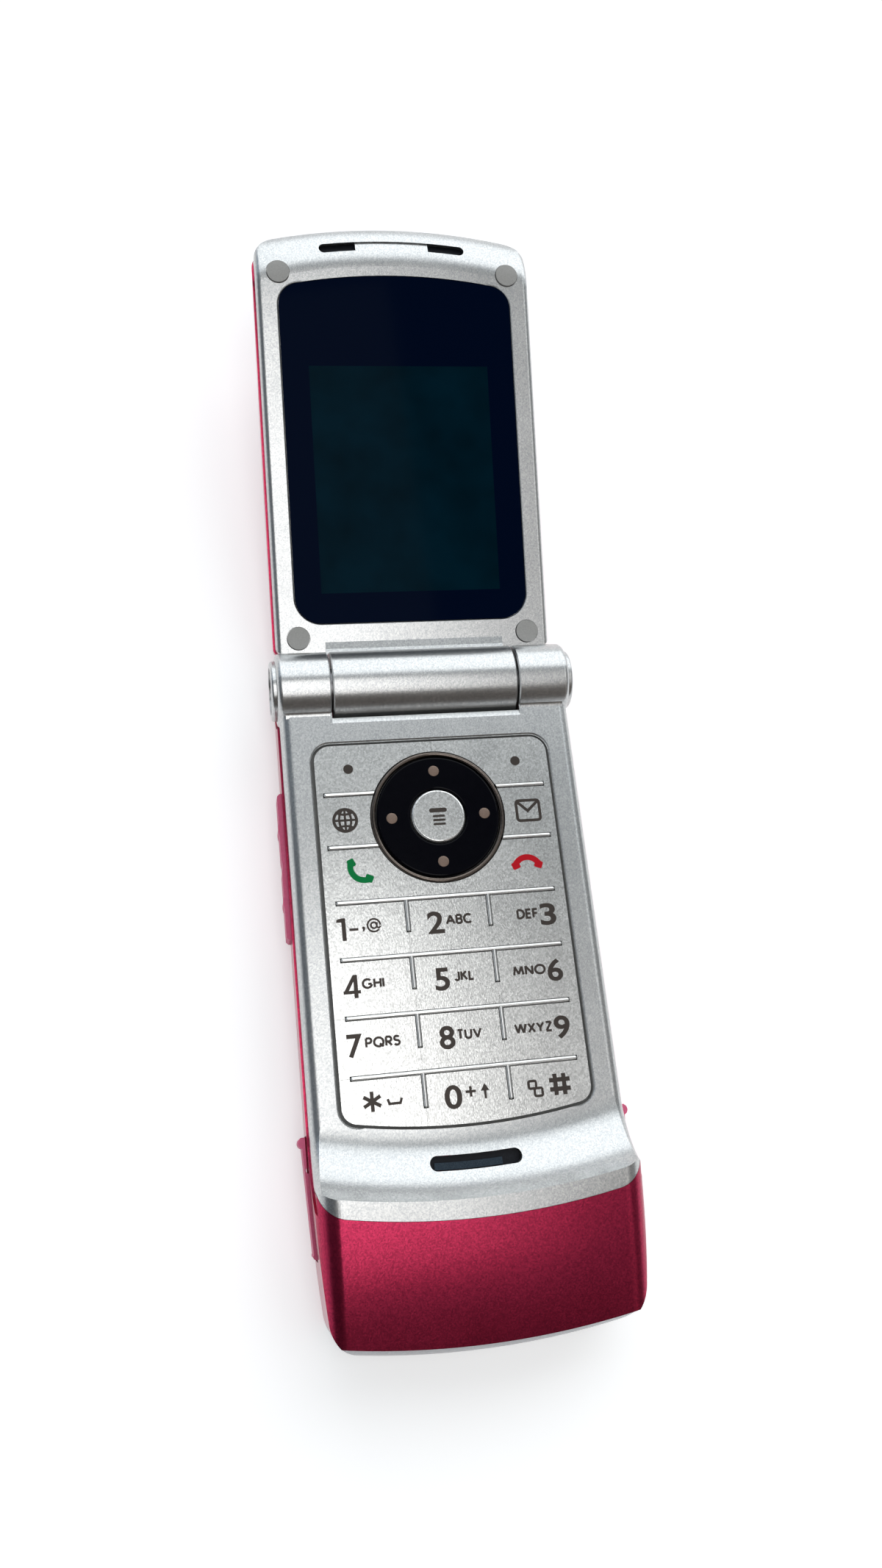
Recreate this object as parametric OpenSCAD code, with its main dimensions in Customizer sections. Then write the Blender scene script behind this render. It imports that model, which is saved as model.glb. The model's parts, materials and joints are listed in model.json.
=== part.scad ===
// Flip phone, lying on its back with the lid open.
// X runs to the right, Y from the chin to the lid and Z up; z = 0 is the flat back.
// Base pieces are drawn with y = 0 at the hinge axis, lid pieces in the lid's own frame.

/* [Base] */
// Width of the silver front housing
front_w = 43.6; // [42:0.1:46]
// Width of the rear housing and the chin
rear_w = 44.2; // [43:0.1:47]
// Height of the keypad face above the back
base_h = 11.8; // [11:0.1:14]
// Height of the line between front and rear housing
split_z = 8.7; // [8.4:0.1:9.2]
// Hinge axis to the end of the battery door
base_len = 93.5; // [92:0.1:98]
// Where the sides start to draw in, from the hinge axis
taper_start = 68; // [60:0.5:72]
// Radius of the drawn-in sides
taper_r = 200; // [150:5:400]
// Corner radius of the chin seen from above
corner_r = 5.5; // [4:0.1:7]
// Rounding of the front housing's long edges
edge_r = 1.6; // [0.6:0.1:2]
// Rounding of the back's long edges
back_r = 3; // [2:0.1:3.4]
// Wall of the housings
wall = 1.2; // [1:0.05:1.5]

/* [Chin] */
// Distance of the centre of all bowed ends beyond the hinge axis
bow = 24.5; // [20:0.5:40]
// Where the keypad face starts to rise, from the hinge axis
scoop_start = 65.5; // [64.8:0.1:67]
// Radius of the scooped rise
scoop_r = 10; // [9.5:0.1:11]
// Thickness of the silver band along the scoop
band_t = 3; // [2.6:0.1:3.3]
// Line between the silver band and the chin, from the hinge axis
chin_line = 76.6; // [76:0.1:78]
// Corner radius of the silver band seen from above
band_corner_r = 4.5; // [3:0.1:6]
// Lower edge of the chin, from the hinge axis
chin_len = 92.3; // [91.5:0.1:92.6]
// Rounding of the chin's long edges
chin_edge_r = 3.3; // [2:0.1:4]
// Length of the microphone slot
mic_slot_w = 12.6; // [8:0.1:16]
// Height of the microphone slot
mic_slot_h = 2; // [1.4:0.1:2.4]
// Microphone slot, from the hinge axis
mic_at = 69.6; // [69:0.1:70.5]

/* [Hinge] */
// Hinge axis ahead of the middle of the back
hinge_y = 44; // [40:0.5:48]
// Hinge axis below the keypad face
hinge_drop = 2.8; // [2.4:0.1:3.2]
// Radius of the hinge barrel
barrel_r = 5.6; // [5:0.1:5.8]
// Length of the lid's knuckle
lid_knuckle_w = 27.7; // [24:0.1:28.5]
// Gap between neighbouring knuckles
knuckle_gap = 0.3; // [0.15:0.05:0.5]
// Length over the outer knuckles
barrel_w = 44; // [43:0.1:45]
// Length over the end caps
cap_w = 45.6; // [45.2:0.1:47]
// Radius of the end caps
cap_r = 4.5; // [3.6:0.1:4.8]
// Radius of the bore along the hinge
hinge_bore_r = 3.1; // [2.6:0.05:3.3]
// Clearance of parts that turn in the bore
run_clear = 0.05; // [0.02:0.01:0.1]
// Fillet between the outer knuckles and the keypad face
knuckle_fillet_r = 1.2; // [0.8:0.1:1.5]
// Chamfer along the ends of the knuckles
knuckle_chamfer = 0.18; // [0.1:0.02:0.3]
// Clearance of the lid's knuckle in its trough
trough_clear = 0.5; // [0.3:0.05:0.7]
// Opening angle of the lid
open_angle = 163.8; // [150:0.1:170]

/* [Lid] */
// Width of the inner bezel
lid_w = 42.8; // [42:0.1:43.4]
// Width of the outer cover
cover_w = 43.4; // [42.6:0.1:44.4]
// Hinge axis to the tip of the lid
lid_len = 72.4; // [71:0.1:72.8]
// Hinge axis to the near end of the lid
lid_start = 6; // [5.8:0.1:6.6]
// Gap between the closed lid and the keypad face
closed_gap = 0.4; // [0.35:0.05:0.6]
// Height of the closed phone
closed_h = 20.6; // [20.2:0.1:22]
// Radius of the crown along lid and chin
crown_r = 192; // [170:1:260]
// Top of the crown, from the hinge axis
crown_mid = 36; // [34:0.5:40]
// Thickness of the inner bezel
bezel_t = 2.4; // [2.2:0.1:2.6]
// Wall of the outer cover
cover_wall = 1.1; // [0.9:0.05:1.2]
// Rounding of the outer cover's long edges
cover_edge_r = 3; // [2:0.1:4]
// Corner radius of the lid's tip
lid_corner_r = 4; // [3:0.1:5]
// Rounding of the inner bezel's long edges
lid_edge_r = 0.9; // [0.4:0.1:1.2]
// Height of the tab strip above the bezel face at the trough's lip
tab_h = 0.3; // [0.1:0.05:0.32]
// Far end of the tab strip, from the hinge axis
tab_end = 7.5; // [7.2:0.1:7.8]

/* [Display] */
// Width of the lens
lens_w = 36.2; // [34:0.1:37]
// Near edge of the lens, from the hinge axis
lens_low = 10.4; // [10:0.1:11.5]
// Far edge of the lens, from the hinge axis
lens_high = 64; // [62:0.1:64.4]
// Thickness of the lens
lens_t = 1; // [0.8:0.05:1.2]
// Depth of the lens below the bezel face
lens_sink = 0.08; // [0.04:0.01:0.2]
// Bevel round the lens
lens_bevel = 0.2; // [0.1:0.05:0.3]
// Width of the lit area
lcd_w = 28; // [26:0.1:29]
// Height of the lit area
lcd_h = 35; // [32:0.1:36]
// Near edge of the lit area, from the hinge axis
lcd_low = 15; // [14.5:0.1:16]
// Width of the window in the outer cover
outer_w = 24; // [18:0.5:28]
// Height of the window in the outer cover
outer_h = 11; // [9:0.5:13]
// Middle of that window, from the hinge axis
outer_at = 46; // [40:0.5:50]
// Thickness of the outer window
outer_t = 0.6; // [0.5:0.05:0.7]

/* [Earpiece and bumpers] */
// Length of the earpiece slot
ear_w = 22.8; // [16:0.1:26]
// Height of the earpiece slot
ear_h = 1.6; // [1.2:0.1:1.8]
// Middle of the earpiece slot, from the hinge axis
ear_at = 69; // [68.4:0.1:69.4]
// Length of the bright insert in the slot
ear_insert_w = 11.4; // [8:0.1:14]
// Depth of the earpiece slot
ear_depth = 1.1; // [0.8:0.05:1.3]
// Radius of the bumpers
bumper_r = 1.7; // [1.4:0.05:1.85]
// Clearance round the bumpers
bumper_clear = 0.12; // [0.05:0.01:0.15]
// Sideways place of the bumpers
bumper_x = 17.9; // [17.4:0.05:18]
// Bumpers near the tip, from the hinge axis
bumper_far = 64.4; // [64.1:0.05:65]
// Bumpers near the hinge, from the hinge axis
bumper_near = 8.2; // [8:0.05:8.4]
// Height of the bumpers above the bezel
bumper_h = 0.3; // [0.2:0.05:0.34]

/* [Keypad] */
// Width of the keypad window
pad_w = 35.5; // [34:0.1:36]
// Upper edge of the keypad window, from the hinge axis
pad_top = 9.55; // [9.3:0.05:10]
// Lower edge of the keypad window, from the hinge axis
pad_end = 65.1; // [64.6:0.1:65.3]
// Clearance round the keypad
pad_clear = 0.4; // [0.2:0.01:0.5]
// Bevel round the keypad window
pad_bevel = 0.25; // [0.1:0.05:0.3]
// Half of the gap between neighbouring keys
key_gap = 0.015; // [0.01:0.005:0.06]
// Thickness of the keys
key_t = 0.9; // [0.7:0.05:1]
// Travel room under the keys
key_room = 0.35; // [0.32:0.01:0.4]
// First ridge above the number keys, from the hinge axis
row_top = 33.3; // [33:0.05:33.6]
// Pitch of the number rows
row_pitch = 8.03; // [7.7:0.01:8.1]
// Sideways place of the column ridges
column_x = 5.92; // [5.4:0.02:6.4]
// Width of the ridges
ridge_w = 0.56; // [0.4:0.02:0.6]
// Height of the ridges above the keys
ridge_h = 0.28; // [0.1:0.02:0.3]
// Clearance beside the ridges and the ring's trim
ridge_clear = 0.08; // [0.03:0.01:0.1]
// Length of the column ridges
ridge_drop = 4.7; // [3.5:0.1:6]
// Half length of the row ridges
ridge_half = 15.84; // [14:0.02:16.2]
// Middle of the navigation ring, from the hinge axis
nav_at = 21.45; // [21.3:0.05:21.6]
// Outer radius of the ring's trim
trim_r = 9.85; // [9.4:0.05:10]
// Width of the ring's trim
trim_w = 0.7; // [0.5:0.05:0.9]
// Clearance round the ring and the select key
nav_clear = 0.15; // [0.1:0.01:0.2]
// Radius of the select key
select_r = 3.95; // [3.5:0.05:4.2]
// Ridges beside the ring, from the hinge axis
side_ridges = [17.4, 25.25];

/* [Side keys and flaps] */
// Upper end of the volume rocker, from the hinge axis
rocker_top = 15.6; // [14:0.1:17]
// Length of the volume rocker
rocker_len = 21.6; // [18:0.1:24]
// Height of the volume rocker
rocker_h = 4; // [3.4:0.1:4.4]
// How far the rocker stands out of the side
rocker_out = 0.7; // [0.5:0.05:0.9]
// Upper end of the port flaps, from the hinge axis
flap_top = 64.2; // [63.5:0.1:65]
// Length of the port flaps
flap_len = 15.9; // [15:0.1:16.5]
// How far the flaps stand out of the side
flap_out = 0.7; // [0.5:0.05:0.9]
// Height of the port flaps
flap_h = 4.6; // [4.2:0.1:4.8]
// Length of the fingernail gap behind the flaps
nail_gap = 4.3; // [3:0.1:6]
// Middle of the sockets behind the flaps, from the hinge axis
port_at = 74.2; // [73.8:0.1:74.8]

/* [Battery and boards] */
// Width of the battery
battery_w = 33.8; // [30:0.1:34.2]
// Length of the battery
battery_len = 50; // [46:0.1:50.5]
// Thickness of the battery
battery_t = 4.5; // [3.8:0.1:4.6]
// Thickness of the battery door
door_t = 1.05; // [0.9:0.05:1.1]
// Width of the battery door
door_w = 37; // [34:0.1:38]
// Clearance round the battery door
door_clear = 0.08; // [0.05:0.01:0.15]
// Thickness of the main board
board_t = 0.8; // [0.6:0.05:0.9]
// Radius of the base screws
screw_r = 0.75; // [0.6:0.05:0.9]
// Radius of the lid screws
lid_screw_r = 0.7; // [0.55:0.05:0.8]
// Clearance of the screws in their bosses
screw_clear = 0.03; // [0.02:0.01:0.06]

/* [Hidden] */
$fn = 96;
fine = 720;
silver = [0.72, 0.70, 0.68];
pink = [0.72, 0.08, 0.25];
rubber_pink = [0.78, 0.20, 0.36];
dark = [0.08, 0.08, 0.10];
bronze = [0.42, 0.37, 0.34];
grey = [0.55, 0.53, 0.51];
green = [0.10, 0.35, 0.20];
gold = [0.80, 0.65, 0.30];
steel = [0.60, 0.61, 0.63];
seam = 0.05;
big = 160;
hinge_z = base_h - hinge_drop;
tilt = 180 - open_angle;
face_w = -(hinge_drop + closed_gap);
front_half = front_w / 2;
rear_half = rear_w / 2;
knuckle_x = lid_knuckle_w / 2 + knuckle_gap;
lid_split = face_w - bezel_t;
scoop_z = base_h + scoop_r;
scoop_w = hinge_z - scoop_z;
lid_scoop_r = scoop_r - closed_gap;
band_r = bow + scoop_start;
crown_w = crown_r + hinge_z - closed_h;
pad_under = base_h - wall;
pad_top_r = 2.8;
pad_end_r = 2.6;
lens_clear = 0.06;
lens_near_r = 4;
lens_far_r = 3.4;
mat_top = base_h - key_t - key_room;
mat_t = 0.35;
board_z = split_z + seam;
dome_z = board_z + board_t + seam;
dome_t = 0.15;
dome_h = 0.3;
floor_top = split_z - 1.9;
bay_top = door_t + 0.15 + battery_t + 0.1;
battery_top_y = -19.6;
bay_clear = 0.3;
cap_line = chin_len - 1.75;
cap_top_z = base_h + 0.1;
side_wall_x = rear_half - 1.7;
rocker_z = 5.9;
rocker_pocket = 1;
rocker_pin_r = 0.3;
rocker_pin_x = rear_half - 0.6;
flap_z = 5.8;
flap_pocket = 0.5;
flap_pin_y = flap_top + flap_len - 0.6;
flap_pin_x = rear_half - pow(flap_pin_y - taper_start, 2) / (2 * taper_r) + 0.1;
rows = [for (i = [0 : 3]) row_top + i * row_pitch];
screw_near = [18, 7.2];
screw_chin = [17.2, 82.6];
ring_out_r = trim_r - trim_w - nav_clear;
ring_in_r = select_r + nav_clear;
pivot_r = 6.5;
pivot_z = mat_top + 0.325;
pivot_t = 0.25;
pivot_pin_r = 0.12;
pivot_clear = 0.03;
speaker = [7, -83.4];
ear_r = lid_scoop_r - ear_depth;
lcd_z = face_w - lens_t - lens_sink - 0.67;
lcd_t = 2;
lid_board_z = lcd_z - lcd_t - 0.15;
lid_board_t = 0.5;
lid_screw_top = face_w - 0.75;
lid_tail_z = hinge_z + lid_split;
lens_top = face_w - lens_sink;
lid_spots = [for (v = [bumper_far, bumper_near], s = [-1, 1]) [s * bumper_x, v]];

// Every node of the part

// Places and directions

module base_place() translate([0, hinge_y, 0]) children();

module lid_place() translate([0, hinge_y, hinge_z]) rotate([tilt, 0, 0]) children();

module both_sides() {
  children();
  mirror([1, 0, 0]) children();
}

module along_x(w) rotate([90, 0, 90]) linear_extrude(height = w, center = true) children();

module along_y(y0, y1) translate([0, y1, 0]) rotate([90, 0, 0]) linear_extrude(height = y1 - y0) children();

module rod_x(r, x0, x1) translate([x0, 0, 0]) rotate([0, 90, 0]) cylinder(r = r, h = x1 - x0);

module box(x0, x1, y0, y1, z0, z1) translate([x0, y0, z0]) cube([x1 - x0, y1 - y0, z1 - z0]);

module bowed() translate([0, bow, 0]) rotate_extrude($fn = fine) children();

module lid_bowed() translate([0, -bow, 0]) rotate_extrude($fn = fine) children();

// Outlines

function meet(a, ra, b, rb) =
  let (d = norm(b - a), u = (b - a) / d)
  let (k = (ra * ra - rb * rb + d * d) / (2 * d), h = sqrt(ra * ra - k * k))
  a + k * u + h * [u[1], -u[0]];

module corner_cut(centre, r, to) {
  reach = r + 3;
  difference() {
    polygon([centre, centre + [reach, 0], centre + [reach, -reach], centre + reach * to]);
    translate(centre) circle(r);
  }
}

module base_plan(half, end) {
  side = [half - taper_r, -taper_start];
  bow_mid = [0, bow];
  end_r = bow + end;
  centre = meet(side, taper_r - corner_r, bow_mid, end_r - corner_r);
  to = (centre - bow_mid) / norm(centre - bow_mid);
  difference() {
    intersection() {
      union() {
        translate([-half, -taper_start]) square([2 * half, taper_start + 30]);
        intersection() {
          translate(side) circle(taper_r, $fn = fine);
          translate([-side[0], side[1]]) circle(taper_r, $fn = fine);
          translate([-big, -taper_start - 60]) square([2 * big, 60.01]);
        }
      }
      translate(bow_mid) circle(end_r, $fn = fine);
    }
    corner_cut(centre, corner_r, to);
    mirror([1, 0]) corner_cut(centre, corner_r, to);
  }
}

module bowed_plan(half, top, end, top_r, end_r) {
  reach = bow + end;
  centre = [half - end_r, bow - sqrt(pow(reach - end_r, 2) - pow(half - end_r, 2))];
  to = (centre - [0, bow]) / norm(centre - [0, bow]);
  difference() {
    intersection() {
      translate([-half, -end - 1]) square([2 * half, end + 1 - top]);
      translate([0, bow]) circle(reach, $fn = fine);
    }
    for (side = [0, 1]) mirror([side, 0]) {
      corner_cut(centre, end_r, to);
      translate([half - top_r, -top - top_r]) mirror([0, 1]) corner_cut([0, 0], top_r, [0, -1]);
    }
  }
}

module pad_plan(inset) {
  bowed_plan(pad_w / 2 - inset, pad_top + inset, pad_end - inset, pad_top_r - inset, pad_end_r - inset);
}

module band_plan(extra) {
  bowed_plan(front_half + extra, -30, chin_line + extra, 1, band_corner_r + extra);
}

module lid_plan(half, inset) {
  mirror([0, 1]) bowed_plan(half - inset, lid_start + inset, lid_len - inset, 1, lid_corner_r - inset);
}

module slot_plan(len, h, at) {
  intersection() {
    difference() {
      translate([0, bow]) circle(bow + at + h / 2, $fn = fine);
      translate([0, bow]) circle(bow + at - h / 2, $fn = fine);
    }
    translate([h / 2 - len / 2, -at - 2]) square([len - h, 5]);
  }
  end_y = bow - sqrt(pow(bow + at, 2) - pow((len - h) / 2, 2));
  for (s = [-1, 1]) translate([s * (len - h) / 2, end_y]) circle(h / 2);
}

// Bevel cut along the rim of a bowed window whose face is at z = 0
module bowed_bevel(half, top, end, top_r, end_r, c) {
  reach = bow + end;
  centre = [half - end_r, bow - sqrt(pow(reach - end_r, 2) - pow(half - end_r, 2))];
  to = big * (centre - [0, bow]) / norm(centre - [0, bow]);
  both_sides() {
    translate([half - top_r, -top - top_r, -c]) bevel_cone(top_r, c);
    translate([centre[0], centre[1], -c]) bevel_cone(end_r, c);
    along_y(centre[1], -top - top_r) translate([half, 0]) bevel_section(c);
  }
  along_x(2 * (half - top_r)) translate([-top, 0]) bevel_section(c);
  intersection() {
    bowed() translate([reach, 0]) bevel_section(c);
    translate([0, bow, -5]) linear_extrude(height = 10) polygon([[0, 0], to, [-to[0], to[1]]]);
  }
}

module bevel_cone(r, c) {
  cylinder(r1 = r, r2 = r + c, h = c);
  translate([0, 0, c]) cylinder(r = r + c, h = 1);
}

module bevel_section(c) polygon([[-1, -c], [0, -c], [c, 0], [c, 1], [-1, 1]]);

module round_box(w, h, r) {
  square([w - 2 * r, h], center = true);
  square([w, h - 2 * r], center = true);
  for (x = [-1, 1], y = [-1, 1]) translate([x * (w / 2 - r), y * (h / 2 - r)]) circle(r);
}

// Shared solids

module crown(r, half, edge) {
  translate([0, -crown_mid, closed_h - crown_r]) wheel(r, half, edge);
}

module lid_crown(r, half, edge) {
  translate([0, crown_mid, crown_w]) wheel(r, half, edge);
}

module wheel(r, half, edge) {
  rotate([0, 90, 0]) rotate_extrude($fn = fine) {
    translate([0, -half]) square([r - edge, 2 * half]);
    translate([0, edge - half]) square([r, 2 * half - 2 * edge]);
    for (s = [-1, 1]) translate([r - edge, s * (half - edge)]) circle(edge);
  }
}

module back_section(half) {
  translate([-half, back_r]) square([2 * half, 30]);
  translate([back_r - half, 0]) square([2 * half - 2 * back_r, 30]);
  for (s = [-1, 1]) translate([s * (half - back_r), back_r]) circle(back_r);
}

module face_section() {
  translate([-front_half, 0]) square([front_w, base_h - edge_r]);
  translate([edge_r - front_half, 0]) square([front_w - 2 * edge_r, base_h]);
  for (s = [-1, 1]) translate([s * (front_half - edge_r), base_h - edge_r]) circle(edge_r);
}

// Rounds the long edges of the front housing on the flat and up the scoop
module face_edges() {
  side_y = bow - sqrt(pow(band_r, 2) - pow(front_half, 2));
  along_y(side_y, 30) face_section();
  intersection() {
    translate([0, side_y, scoop_z]) rotate([0, 90, 0]) rotate_extrude() {
      translate([scoop_r + edge_r, -front_half]) square([20, front_w]);
      translate([scoop_r, edge_r - front_half]) square([20, front_w - 2 * edge_r]);
      for (s = [-1, 1]) translate([scoop_r + edge_r, s * (front_half - edge_r)]) circle(edge_r);
    }
    box(-big, big, side_y - 30, side_y, 0, 30);
  }
}

module front_profile() {
  translate([12, split_z + seam]) square([band_r - 12, base_h - split_z - seam]);
  intersection() {
    difference() {
      translate([band_r, scoop_z]) circle(scoop_r + band_t);
      translate([band_r, scoop_z]) circle(scoop_r);
    }
    translate([band_r, split_z + seam]) square([bow + chin_line - band_r, 12]);
  }
}

module chin_profile() {
  difference() {
    translate([band_r, split_z + seam]) square([bow + chin_len - seam - band_r, 12]);
    intersection() {
      translate([band_r, scoop_z]) circle(scoop_r + band_t + seam);
      translate([band_r - 20, 0]) square([bow + chin_line + seam - band_r + 20, 40]);
    }
    translate([bow + cap_line, 0]) square([12, cap_top_z + seam]);
  }
}

module knuckle(x0, x1) {
  round_r = 0.8;
  c = knuckle_chamfer;
  flat = x1 - x0 - round_r;
  translate([x0, 0, hinge_z]) rotate([0, 90, 0]) rotate_extrude() {
    polygon([[0, 0], [barrel_r - c, 0], [barrel_r, c], [barrel_r, flat], [0, flat]]);
    square([barrel_r - round_r, flat + round_r]);
    translate([barrel_r - round_r, flat]) circle(round_r);
  }
}

// Fills the inner corner between an outer knuckle and the keypad face
module knuckle_fillet() {
  r = knuckle_fillet_r;
  rise = hinge_drop + r;
  mid_y = -sqrt(pow(barrel_r + r, 2) - rise * rise);
  share = barrel_r / (barrel_r + r);
  start = knuckle_x + knuckle_chamfer + seam;
  length = front_half - 0.9 - start;
  translate([start + length / 2, 0, hinge_z]) along_x(length) difference() {
    polygon([[mid_y, hinge_drop - 0.6], [mid_y, hinge_drop], [share * mid_y, share * rise],
      [share * mid_y + 0.6, hinge_drop - 0.6]]);
    translate([mid_y, rise]) circle(r + 0.03);
  }
}

module trough() {
  half = knuckle_x;
  reach = barrel_r + trough_clear;
  lip = sqrt(reach * reach - hinge_drop * hinge_drop) + 1;
  lip_slope = 0.3;
  translate([0, 0, hinge_z]) rod_x(reach, -half, half);
  box(-half, half, -4.5, 20, hinge_z, 30);
  box(-half, half, 0, 20, lid_tail_z, 30);
  along_x(2 * half)
    polygon([[-lip, base_h], [-lip, base_h + 1], [0, base_h + 1], [0, base_h - lip_slope * lip]]);
}

// Housings

module front_housing() color(silver) base_place() difference() {
  union() {
    intersection() {
      translate([0, 0, split_z + seam]) linear_extrude(height = 12) band_plan(0);
      bowed() front_profile();
      crown(crown_r, rear_half, chin_edge_r);
      face_edges();
      box(-big, big, -big, 0, 0, 30);
    }
    both_sides() knuckle(knuckle_x, barrel_w / 2);
    both_sides() knuckle_fillet();
  }
  trough();
  translate([0, 0, pad_under - 1]) linear_extrude(height = 6) pad_plan(0);
  translate([0, 0, base_h]) bowed_bevel(pad_w / 2, pad_top, pad_end, pad_top_r, pad_end_r, pad_bevel);
  translate([0, 0, split_z]) linear_extrude(height = pad_under - split_z) cavity_plan();
  both_sides() {
    translate([0, 0, hinge_z]) rod_x(hinge_bore_r, knuckle_x - 1, barrel_w / 2 + 1);
    translate([0, 0, hinge_z]) rod_x(cap_r + run_clear, barrel_w / 2 - 0.8, barrel_w / 2 + 1);
    translate([screw_near[0], -screw_near[1], split_z - 1]) cylinder(r = screw_r + screw_clear, h = 2.6);
  }
  translate([0, 0, base_h - 3]) linear_extrude(height = 10) slot_plan(mic_slot_w, mic_slot_h, mic_at);
  translate([0, -mic_at, split_z - 1]) cylinder(r = 2.1, h = base_h - 1 - split_z + 1);
}

module cavity_plan() {
  bowed_plan(front_half - 1.4, pad_top - 0.9, scoop_start + 1.2, 2, 2.2);
}

module rear_housing() color(pink) base_place() difference() {
  intersection() {
    linear_extrude(height = split_z) base_plan(rear_half, base_len);
    along_y(-big, 30) back_section(rear_half);
    along_x(60) hinge_end_section();
    bowed() translate([12, 0]) square([bow + cap_line - seam - 12, split_z]);
  }
  rear_hinge_cuts();
  door_cut();
  bays();
  side_pockets();
  screw_bores();
  sound_slots();
}

module sound_slots() {
  for (i = [-1.5 : 1.5]) box(speaker[0] - 2.6, speaker[0] + 2.6, speaker[1] + 1.7 * i - 0.4,
                             speaker[1] + 1.7 * i + 0.4, -1, 2.5);
}

module hinge_end_section() {
  end_y = 4.6;
  translate([-big, 0]) square([big + end_y - back_r, 30]);
  translate([-big, back_r]) square([big + end_y, 30]);
  translate([end_y - back_r, back_r]) circle(back_r);
}

module rear_hinge_cuts() {
  reach = barrel_r + trough_clear;
  translate([0, 0, hinge_z]) rod_x(reach, -knuckle_x, knuckle_x);
  translate([0, 0, hinge_z]) rod_x(barrel_r + seam, -30, 30);
  box(-knuckle_x, knuckle_x, 0, 20, lid_tail_z, 30);
  box(-30, 30, 0, 20, hinge_z - 2, 30);
}

module door_cut() {
  box(-door_w / 2 - door_clear, door_w / 2 + door_clear, -big, -13 + door_clear, -1, door_t + door_clear);
}

module bays() {
  half = battery_w / 2 + bay_clear;
  box(-half, half, battery_top_y - battery_len - bay_clear, battery_top_y + 1.2, 0.5, bay_top);
  translate([0, 0, floor_top]) linear_extrude(height = 4)
    bowed_plan(side_wall_x - 1.4, 10, scoop_start, 2, 2);
  translate([0, 0, 2]) linear_extrude(height = 9) chin_bay_plan();
  box(-6, 6, battery_top_y - 0.2, battery_top_y + 1.2, bay_top - 1, split_z + 1);
}

module chin_bay_plan() {
  intersection() {
    translate([-14.6, -chin_len + 4]) square([29.2, chin_len - 4 - 78.6]);
    translate([0, bow]) circle(bow + cap_line - 1.4);
  }
}

module side_pockets() {
  rocker_mid = rocker_top + rocker_len / 2;
  rocker_reach = rocker_len / 2 + 0.15;
  box(-30, rocker_pocket - rear_half, -rocker_mid - rocker_reach, -rocker_mid + rocker_reach,
      rocker_z - rocker_h / 2 - 0.12, rocker_z + rocker_h / 2 + 0.12);
  translate([-rocker_pin_x, -rocker_mid, rocker_z - rocker_h / 2 - 0.5])
    cylinder(r = rocker_pin_r + run_clear, h = rocker_h + 1);
  both_sides() {
    difference() {
      box(10, 30, -flap_top - flap_len - 0.15, -flap_top + 0.15, flap_z - flap_h / 2 - 0.12,
          flap_z + flap_h / 2 + 0.12);
      linear_extrude(height = 30) base_plan(rear_half - flap_pocket, base_len);
    }
  }
  box(-30, 4.6 - rear_half + 4, -port_at - 4, -port_at + 4, flap_z - 2.1, flap_z + 2.1);
  translate([0, -port_at, flap_z]) rod_x(2.7, rear_half - 9.4, 30);
}

module screw_bores() both_sides() {
  translate([screw_near[0], -screw_near[1], -1]) cylinder(r = screw_r + 0.1, h = 12);
  translate([screw_near[0], -screw_near[1], -1]) cylinder(r = 1.55, h = 3);
  translate([screw_chin[0], -screw_chin[1], -1]) cylinder(r = screw_r + 0.1, h = 12);
  translate([screw_chin[0], -screw_chin[1], -1]) cylinder(r = 1.55, h = 3);
}

module chin_cover() color(pink) base_place() difference() {
  union() {
    difference() {
      intersection() {
        translate([0, 0, split_z + seam]) linear_extrude(height = 12) base_plan(rear_half, base_len);
        bowed() chin_profile();
        crown(crown_r, rear_half, chin_edge_r);
      }
      intersection() {
        translate([0, 0, split_z - 1]) linear_extrude(height = 12)
          base_plan(rear_half - wall, cap_line - wall);
        crown(crown_r - wall, rear_half - wall, chin_edge_r - wall);
      }
    }
    chin_corners();
    both_sides() intersection() {
      translate([screw_chin[0], -screw_chin[1], split_z + seam]) cylinder(r = 1.9, h = 8);
      crown(crown_r - wall / 2, rear_half - 0.2, chin_edge_r);
    }
  }
  both_sides() translate([screw_chin[0], -screw_chin[1], split_z - 1])
    cylinder(r = screw_r + screw_clear, h = 4);
}

// Fills the chin up to the rounded corners of the silver band
module chin_corners() difference() {
  corner_from = band_r + 0.75 * scoop_r;
  intersection() {
    translate([0, 0, split_z + 1]) linear_extrude(height = 12) base_plan(front_half, base_len);
    face_edges();
    bowed() difference() {
      translate([corner_from, split_z + 1]) square([bow + chin_line + 0.2 - corner_from, 12]);
      translate([band_r, scoop_z]) circle(scoop_r);
    }
    crown(crown_r, rear_half, chin_edge_r);
  }
  linear_extrude(height = 30) band_plan(seam);
}

module battery_door() color(silver) base_place() {
  difference() {
    intersection() {
      union() {
        intersection() {
          box(-door_w / 2, door_w / 2, -big, -13, 0, door_t);
          bowed() square([bow + cap_line + 0.4, door_t]);
        }
        intersection() {
          linear_extrude(height = cap_top_z) base_plan(rear_half, base_len);
          bowed() cap_profile();
        }
      }
      along_y(-big, 30) back_section(rear_half);
    }
    intersection() {
      translate([0, 0, 2.4]) linear_extrude(height = 12) base_plan(rear_half - wall, base_len - 3 * wall);
      bowed() translate([bow + cap_line - 1, 0]) square([base_len - 1.5 - cap_line, 20]);
    }
    sound_slots();
    for (i = [0 : 2]) box(-6, 6, -20.4 - 1.6 * i, -19.7 - 1.6 * i, -1, 0.3);
  }
}

module cap_profile() {
  cap_r = 14;
  intersection() {
    translate([bow + base_len - cap_r, base_h / 2]) circle(cap_r);
    translate([bow + cap_line, 0]) square([12, cap_top_z]);
  }
}

// Power and boards

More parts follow.
